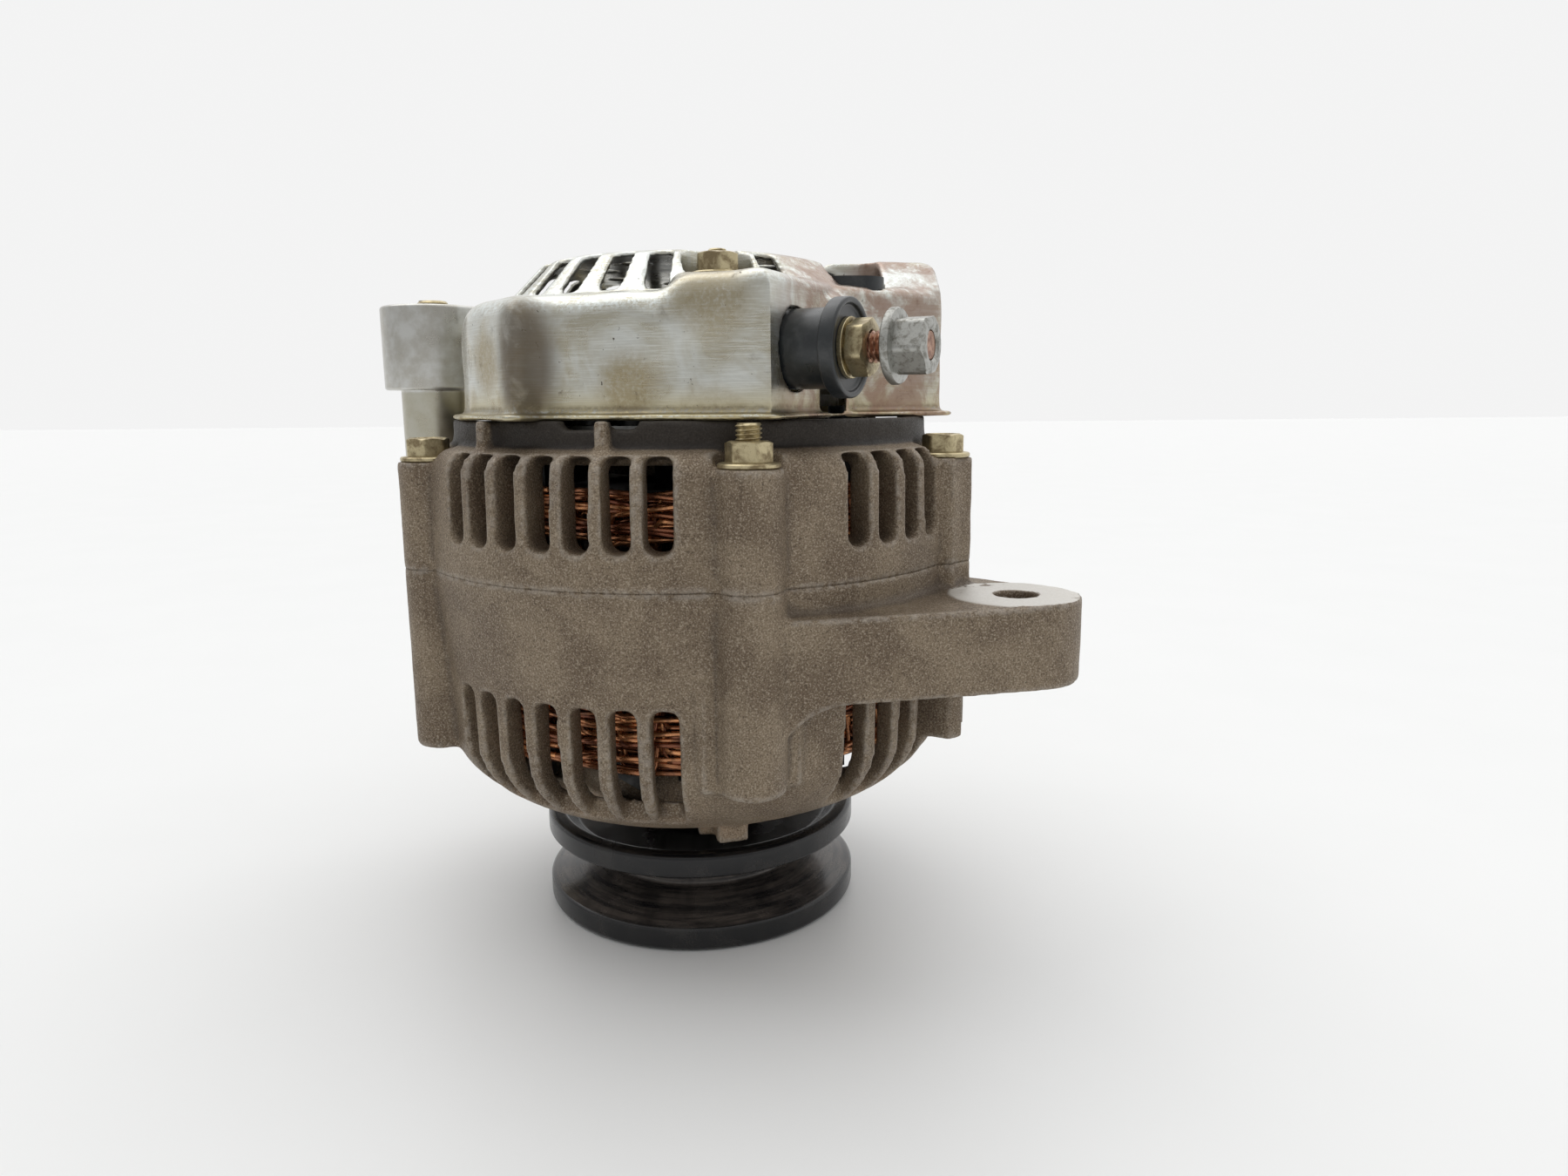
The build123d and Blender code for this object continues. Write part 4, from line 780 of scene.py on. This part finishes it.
def frame_fasteners():
    """The through studs, threaded where they stand out of their nuts, and the flange nuts."""
    studs, nuts = [], []
    for low, high in solids("frame_studs"):
        x, y = middle((low, high)).xy
        radius = (high.x - low.x) / 2 / MM
        length = (high.z - low.z) / MM
        stud = threaded(radius, length, 0.8, length - FRAME_THREAD_MM)
        studs.append(placed(stud, standing(x, y, low.z)))
    for low, high in solids("frame_nuts"):
        x, y = middle((low, high)).xy
        turn = math.atan2(y, x) + math.radians(8)
        radius = (high.x - low.x) / 2 / MM
        shape = nut_shape(SMALL_NUT_FLATS_MM, (high.z - low.z) / MM, 2.35, radius)
        nuts.append(placed(shape, standing(x, y, low.z, turn)))
    show_fasteners("frame_stud_set", studs, "frame_studs")
    show_fasteners("frame_nut_set", nuts, "frame_nuts")


frame_fasteners()


def cover_fasteners():
    """The cover's studs, each with its spacer, and the flange nuts."""
    studs, nuts = [], []
    for low, high in solids("cover_studs"):
        x, y = middle((low, high)).xy
        length = (high.z - low.z) / MM
        post_top = length - COVER_STUD_END_MM
        core = threaded(2.0, length, 0.7, length - COVER_THREAD_MM)
        post = capped_lathe([(3.3, 5.0), (3.6, 5.3), (3.6, post_top - 0.3), (3.3, post_top)], 48)
        studs.extend(placed(s, standing(x, y, low.z)) for s in (core, post))
    for low, high in solids("cover_nuts"):
        x, y = middle((low, high)).xy
        radius = (high.x - low.x) / 2 / MM
        shape = nut_shape(SMALL_NUT_FLATS_MM, (high.z - low.z) / MM, 1.85, radius)
        nuts.append(placed(shape, standing(x, y, low.z, draw.uniform(0, 1))))
    show_fasteners("cover_stud_set", studs, "cover_studs")
    show_fasteners("cover_nut_set", nuts, "cover_nuts")


cover_fasteners()

# ---------------------------------------------------------------- adjusting sleeve and bolt

SLEEVE_STEP_MM = 46.6  # height at which the sleeve widens into its head


def adjuster():
    """The stepped sleeve on top of the left ear, and the bolt that comes up through both."""
    low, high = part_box("adjuster_sleeve")
    x, y = middle((low, high)).xy
    height = (high.z - low.z) / MM
    step = SLEEVE_STEP_MM
    outline = [
        (4.25, 0.0), (8.7, 0.0), (9.0, 0.3), (9.0, step - 0.01), (12.4, step), (12.8, step + 0.4),
        (12.8, height - 0.5), (12.3, height), (4.25, height),
    ]
    verts, faces = placed(closed_lathe(rounded(outline, 0.35), 128), standing(x, y, low.z))
    mesh = mesh_from("sleeve_mesh", verts, faces)
    sharpen(mesh, 40)
    show("adjusting_sleeve", mesh, "housing", "machined_steel", "adjuster_sleeve")
    low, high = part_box("adjuster_bolt")
    length = (high.z - low.z) / MM
    upside_down = Matrix.Rotation(math.pi, 4, "X")
    flats, head_mm = BOLT_HEAD_MM
    head = nut_shape(flats, head_mm, 3.0)
    head = placed(head, upside_down @ Matrix.Translation((0, 0, -head_mm * MM)))
    shank = threaded(4.0, length - 0.6, 1.25, length - BOLT_THREAD_MM)
    shank = placed(shank, standing(0, 0, 0.6 * MM))
    verts, faces = placed(joined([head, shank]), standing(x, y, low.z))
    mesh = mesh_from("bolt_mesh", verts, faces)
    sharpen(mesh)
    show("adjusting_bolt", mesh, "housing", "yellow_zinc", "adjuster_bolt")


adjuster()

# ---------------------------------------------------------------- battery terminal

terminal = mounts["b_plus_terminal"]
TERMINAL_MIDDLE_MM = 19.1
along = Vector(terminal["axis"])
root = Vector(terminal["pos_m"]) - along * TERMINAL_MIDDLE_MM * MM


def on_terminal(distance_mm, turn=0.0):
    """The frame at a distance along the terminal's axis, with its z along that axis."""
    turned = along.to_track_quat("Z", "Y").to_matrix().to_4x4()
    there = Matrix.Translation(root + along * distance_mm * MM)
    return there @ turned @ Matrix.Rotation(turn, 4, "Z")


def battery_terminal():
    """The insulating bush, the stud through it, and the stud's two nuts."""
    bush = [
        (3.0, -5.0), (7.7, -5.0), (7.7, 9.2), (8.2, 9.7), (9.5, 9.8), (9.5, 13.0), (8.3, 13.0),
        (8.1, 12.0), (3.0, 12.0),
    ]
    mesh = mesh_from("bush_mesh", *placed(closed_lathe(rounded(bush, 0.45), 128), on_terminal(0)))
    sharpen(mesh, 40)
    show("terminal_bush", mesh, "housing", "black_plastic", "b_plus_insulator")
    stud = placed(threaded(3.0, 36.5, 1.0, 19.0, 0.8), on_terminal(-8.0))
    head = capped_lathe([(4.7, 0), (5.0, 0.3), (5.0, 1.7), (4.7, 2.0)], 48)
    head = placed(head, on_terminal(-10.0))
    mesh = mesh_from("terminal_stud_mesh", *joined([stud, head]))
    sharpen(mesh)
    show("terminal_stud", mesh, "housing", "copper", "b_plus_stud")
    washer = [(3.1, 12.05), (5.7, 12.05), (5.8, 12.2), (5.8, 12.9), (5.7, 13.0), (3.1, 13.0)]
    inner = [
        placed(nut_shape(TERMINAL_NUT_FLATS_MM, 4.2, 2.8), on_terminal(13.0, 0.35)),
        placed(closed_lathe(washer, 64), on_terminal(0)),
    ]
    mesh = mesh_from("inner_nut_mesh", *joined(inner))
    sharpen(mesh)
    show("terminal_inner_nut", mesh, "housing", "yellow_zinc", "b_plus_inner_nut")
    outer = placed(nut_shape(TERMINAL_NUT_FLATS_MM, 8.0, 2.8, 7.1), on_terminal(21.0, 0.15))
    mesh = mesh_from("outer_nut_mesh", *outer)
    sharpen(mesh)
    show("terminal_flange_nut", mesh, "housing", "grey_zinc", "b_plus_flange_nut")


battery_terminal()

# ---------------------------------------------------------------- stator winding


def tube(path, radius, sides=6, up=Vector((0, 0, 1))):
    """A thin round wire along a path of points."""
    verts, faces = [], []
    for i, point in enumerate(path):
        ahead = path[min(i + 1, len(path) - 1)] - path[max(i - 1, 0)]
        side = ahead.cross(up)
        if side.length < 1e-9:
            side = ahead.cross(Vector((1, 0, 0)))
        side.normalize()
        lift = side.cross(ahead).normalized()
        for k in range(sides):
            angle = 2 * math.pi * k / sides
            verts.append(point + side * math.cos(angle) * radius + lift * math.sin(angle) * radius)
    for i in range(len(path) - 1):
        for k in range(sides):
            n = (k + 1) % sides
            faces.append((i * sides + k, i * sides + n, (i + 1) * sides + n, (i + 1) * sides + k))
    faces.append(tuple(range(sides - 1, -1, -1)))
    faces.append(tuple((len(path) - 1) * sides + k for k in range(sides)))
    return verts, faces


SLOTS = 36
SPAN = 3  # slots from where a wire leaves to where it goes back in
WIRE_R = 0.6
CROWN_R = 52.4  # radius of the outermost wires between slots
CROWN_DEEP = 5.2  # how far in from there the innermost run
SLOT_R = 47.5
STEPS = 18  # straight pieces in each wire
SUNK = 3.0  # how far each wire starts inside its slot


def end_turns(name, start_z, out, reach_mm, wires, seed):
    """The coil ends on one side of the core: each wire leaves a slot and goes back into another."""
    rng = random.Random(seed)
    shapes, tones = [], []
    for slot in range(SLOTS):
        lean = rng.uniform(-1.6, 1.6)
        for wire in range(wires):
            level = (wire + 0.5) / wires
            height = reach_mm * (0.22 + 0.74 * level) + rng.uniform(-0.35, 0.35)
            radius = CROWN_R - rng.random() ** 1.5 * CROWN_DEEP
            base_r = SLOT_R + rng.uniform(-1.6, 1.6)
            first = 2 * math.pi * slot / SLOTS + rng.uniform(-0.02, 0.02)
            last = first + 2 * math.pi * SPAN / SLOTS + rng.uniform(-0.02, 0.02)
            wobble, phase = rng.uniform(-1.1, 1.1), rng.uniform(0, 6.28)
            path = []
            for i in range(STEPS + 1):
                t = i / STEPS
                rise = min(1.0, math.sin(math.pi * t) * 2.6) ** 0.8
                angle = first + (last - first) * (t - math.sin(2 * math.pi * t) / 9.0)
                r = base_r + (radius - base_r) * rise + 0.25 * math.sin(phase + 7 * t)
                z = -SUNK + (height + SUNK) * rise
                z += wobble * math.sin(math.pi * 2 * t + phase) * rise * 0.6
                z += lean * (t - 0.5) * 2.4 * rise
                z = min(z, reach_mm - WIRE_R)
                x, y = r * math.cos(angle) * MM, r * math.sin(angle) * MM
                path.append(Vector((x, y, start_z + out * z * MM)))
            shapes.append(tube(path, WIRE_R * MM))
            tones.extend([rng.random() ** 1.3] * len(shapes[-1][0]))
    verts, faces = joined(shapes)
    mesh = mesh_from(name + "_mesh", verts, faces)
    layer = mesh.attributes.new("tone", "FLOAT", "POINT")
    layer.data.foreach_set("value", np.array(tones, np.float32))
    mesh.update()
    return show(name, mesh, "housing", "copper_winding", "stator_winding")


core_low, core_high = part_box("stator_core")
wind_low, wind_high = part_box("stator_winding")
end_turns("winding_end_rear", core_high.z, 1, (wind_high.z - core_high.z) / MM, 9, 5)
end_turns("winding_end_front", core_low.z, -1, (core_low.z - wind_low.z) / MM, 10, 6)

# ---------------------------------------------------------------- brush springs

SPRING_WIRE_MM = 0.35
SPRING_TURNS = 8


def brush_spring(node):
    """A closed-end coil spring between a brush and its cap."""
    low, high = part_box(node)
    centre = middle((low, high))
    wire = SPRING_WIRE_MM * MM
    radius = (high.x - low.x) / 2 - wire
    run = high.y - low.y - 2 * wire
    steps = SPRING_TURNS * 24
    path = []
    for i in range(steps + 1):
        angle = 2 * math.pi * SPRING_TURNS * i / steps
        along_run = min(max((i / steps - 0.08) / 0.84, 0.0), 1.0)
        path.append(Vector((
            centre.x + radius * math.cos(angle),
            low.y + wire + run * along_run,
            centre.z + radius * math.sin(angle),
        )))
    mesh = mesh_from(node + "_mesh", *tube(path, wire, 8, Vector((0, 1, 0))))
    piece = show(node + "_coil", mesh, "housing", "spring_steel", node)
    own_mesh(piece)


brush_spring("positive_brush_spring")
brush_spring("negative_brush_spring")

# ---------------------------------------------------------------- CAD nodes that stay

for name, node in nodes.items():
    if node.hide_render:
        continue
    node.data.materials.clear()
    node.data.materials.append(finishes[node_slots[name]])
    sharpen(node.data, 30)
    if name == "field_coil":
        node.data.attributes.new("tone", "FLOAT", "POINT").data.foreach_set(
            "value", np.full(len(node.data.vertices), 0.3, np.float32))

# ---------------------------------------------------------------- stage, light and camera

FLOOR_HALF_M = 6.0
FLOOR_Z_M = -0.0002
# the sky's strength is the sum of two smooth steps: from, to, strength there and strength there
SKY_TURN = 0.60  # the first step runs along x times this, plus y
SKY_ALONG = (-0.60, 0.50, 0.50, 0.90)
SKY_UPWARD = (0.40, 0.85, 0.0, 0.36)
# name, direction of the light, angle across in degrees, power
SUNS = (
    ("key", (0.38, -0.28, -0.88), 50.0, 0.56),
    ("back", (-0.25, -0.55, -0.80), 60.0, 0.26),
)


def studio():
    sheet = bmesh.new()
    bmesh.ops.create_grid(sheet, x_segments=8, y_segments=8, size=FLOOR_HALF_M)
    mesh = bpy.data.meshes.new("floor_mesh")
    sheet.to_mesh(mesh)
    sheet.free()
    floor = bpy.data.objects.new("floor", mesh)
    floor.location.z = FLOOR_Z_M
    bpy.context.scene.collection.objects.link(floor)
    s = Surface("pale_table")
    soft = s.noise(60.0, 3.0)
    mesh.materials.append(s.done(s.mix(soft, (0.80, 0.805, 0.80), (0.83, 0.833, 0.83)), 0.42, 0.0))
    world = bpy.data.worlds.new("studio")
    world.use_nodes = True
    tree = world.node_tree
    sky = tree.nodes["Background"]
    sky.inputs["Color"].default_value = (1.0, 1.0, 1.0, 1.0)
    place = tree.nodes.new("ShaderNodeTexCoord")
    split = tree.nodes.new("ShaderNodeSeparateXYZ")
    tree.links.new(place.outputs["Generated"], split.inputs[0])
    aside = tree.nodes.new("ShaderNodeMath")
    aside.operation = "MULTIPLY_ADD"
    aside.inputs[1].default_value = SKY_TURN
    tree.links.new(split.outputs["X"], aside.inputs[0])
    tree.links.new(split.outputs["Y"], aside.inputs[2])
    total = tree.nodes.new("ShaderNodeMath")
    for slot, source, limits in (
        (0, aside.outputs[0], SKY_ALONG),
        (1, split.outputs["Z"], SKY_UPWARD),
    ):
        ramp = tree.nodes.new("ShaderNodeMapRange")
        ramp.interpolation_type = "SMOOTHSTEP"
        for key, value in zip(("From Min", "From Max", "To Min", "To Max"), limits):
            ramp.inputs[key].default_value = value
        tree.links.new(source, ramp.inputs["Value"])
        tree.links.new(ramp.outputs["Result"], total.inputs[slot])
    tree.links.new(total.outputs[0], sky.inputs["Strength"])
    bpy.context.scene.world = world
    for name, aim, angle, power in SUNS:
        lamp = bpy.data.lights.new(name, "SUN")
        lamp.angle = math.radians(angle)
        lamp.energy = power
        holder = bpy.data.objects.new(name, lamp)
        holder.rotation_euler = Vector(aim).to_track_quat("-Z", "Y").to_euler()
        holder.location = (0, 0, 1)
        bpy.context.scene.collection.objects.link(holder)


CAMERA_PLACE = Vector((0.0, -0.24654, 0.11965))
CAMERA_YAW = math.radians(4.96)
CAMERA_PITCH = math.radians(10.29)
CAMERA_ROLL = math.radians(0.407)
CAMERA_LENS = 23.354


def camera():
    """The camera that matches the photo's view."""
    data = bpy.data.cameras.new("camera")
    data.lens = CAMERA_LENS
    data.sensor_width = 36.0
    data.clip_start = 0.01
    holder = bpy.data.objects.new("camera", data)
    look = Vector((math.sin(CAMERA_YAW) * math.cos(CAMERA_PITCH),
                   math.cos(CAMERA_YAW) * math.cos(CAMERA_PITCH), -math.sin(CAMERA_PITCH)))
    level = Vector((look.y, -look.x, 0)).normalized()
    above = level.cross(look)
    right = level * math.cos(CAMERA_ROLL) - above * math.sin(CAMERA_ROLL)
    up = level * math.sin(CAMERA_ROLL) + above * math.cos(CAMERA_ROLL)
    pose = Matrix((right, up, -look)).transposed().to_4x4()
    holder.matrix_world = Matrix.Translation(CAMERA_PLACE) @ pose
    bpy.context.scene.collection.objects.link(holder)
    bpy.context.scene.camera = holder


studio()
camera()
bpy.context.scene.view_settings.view_transform = "Standard"
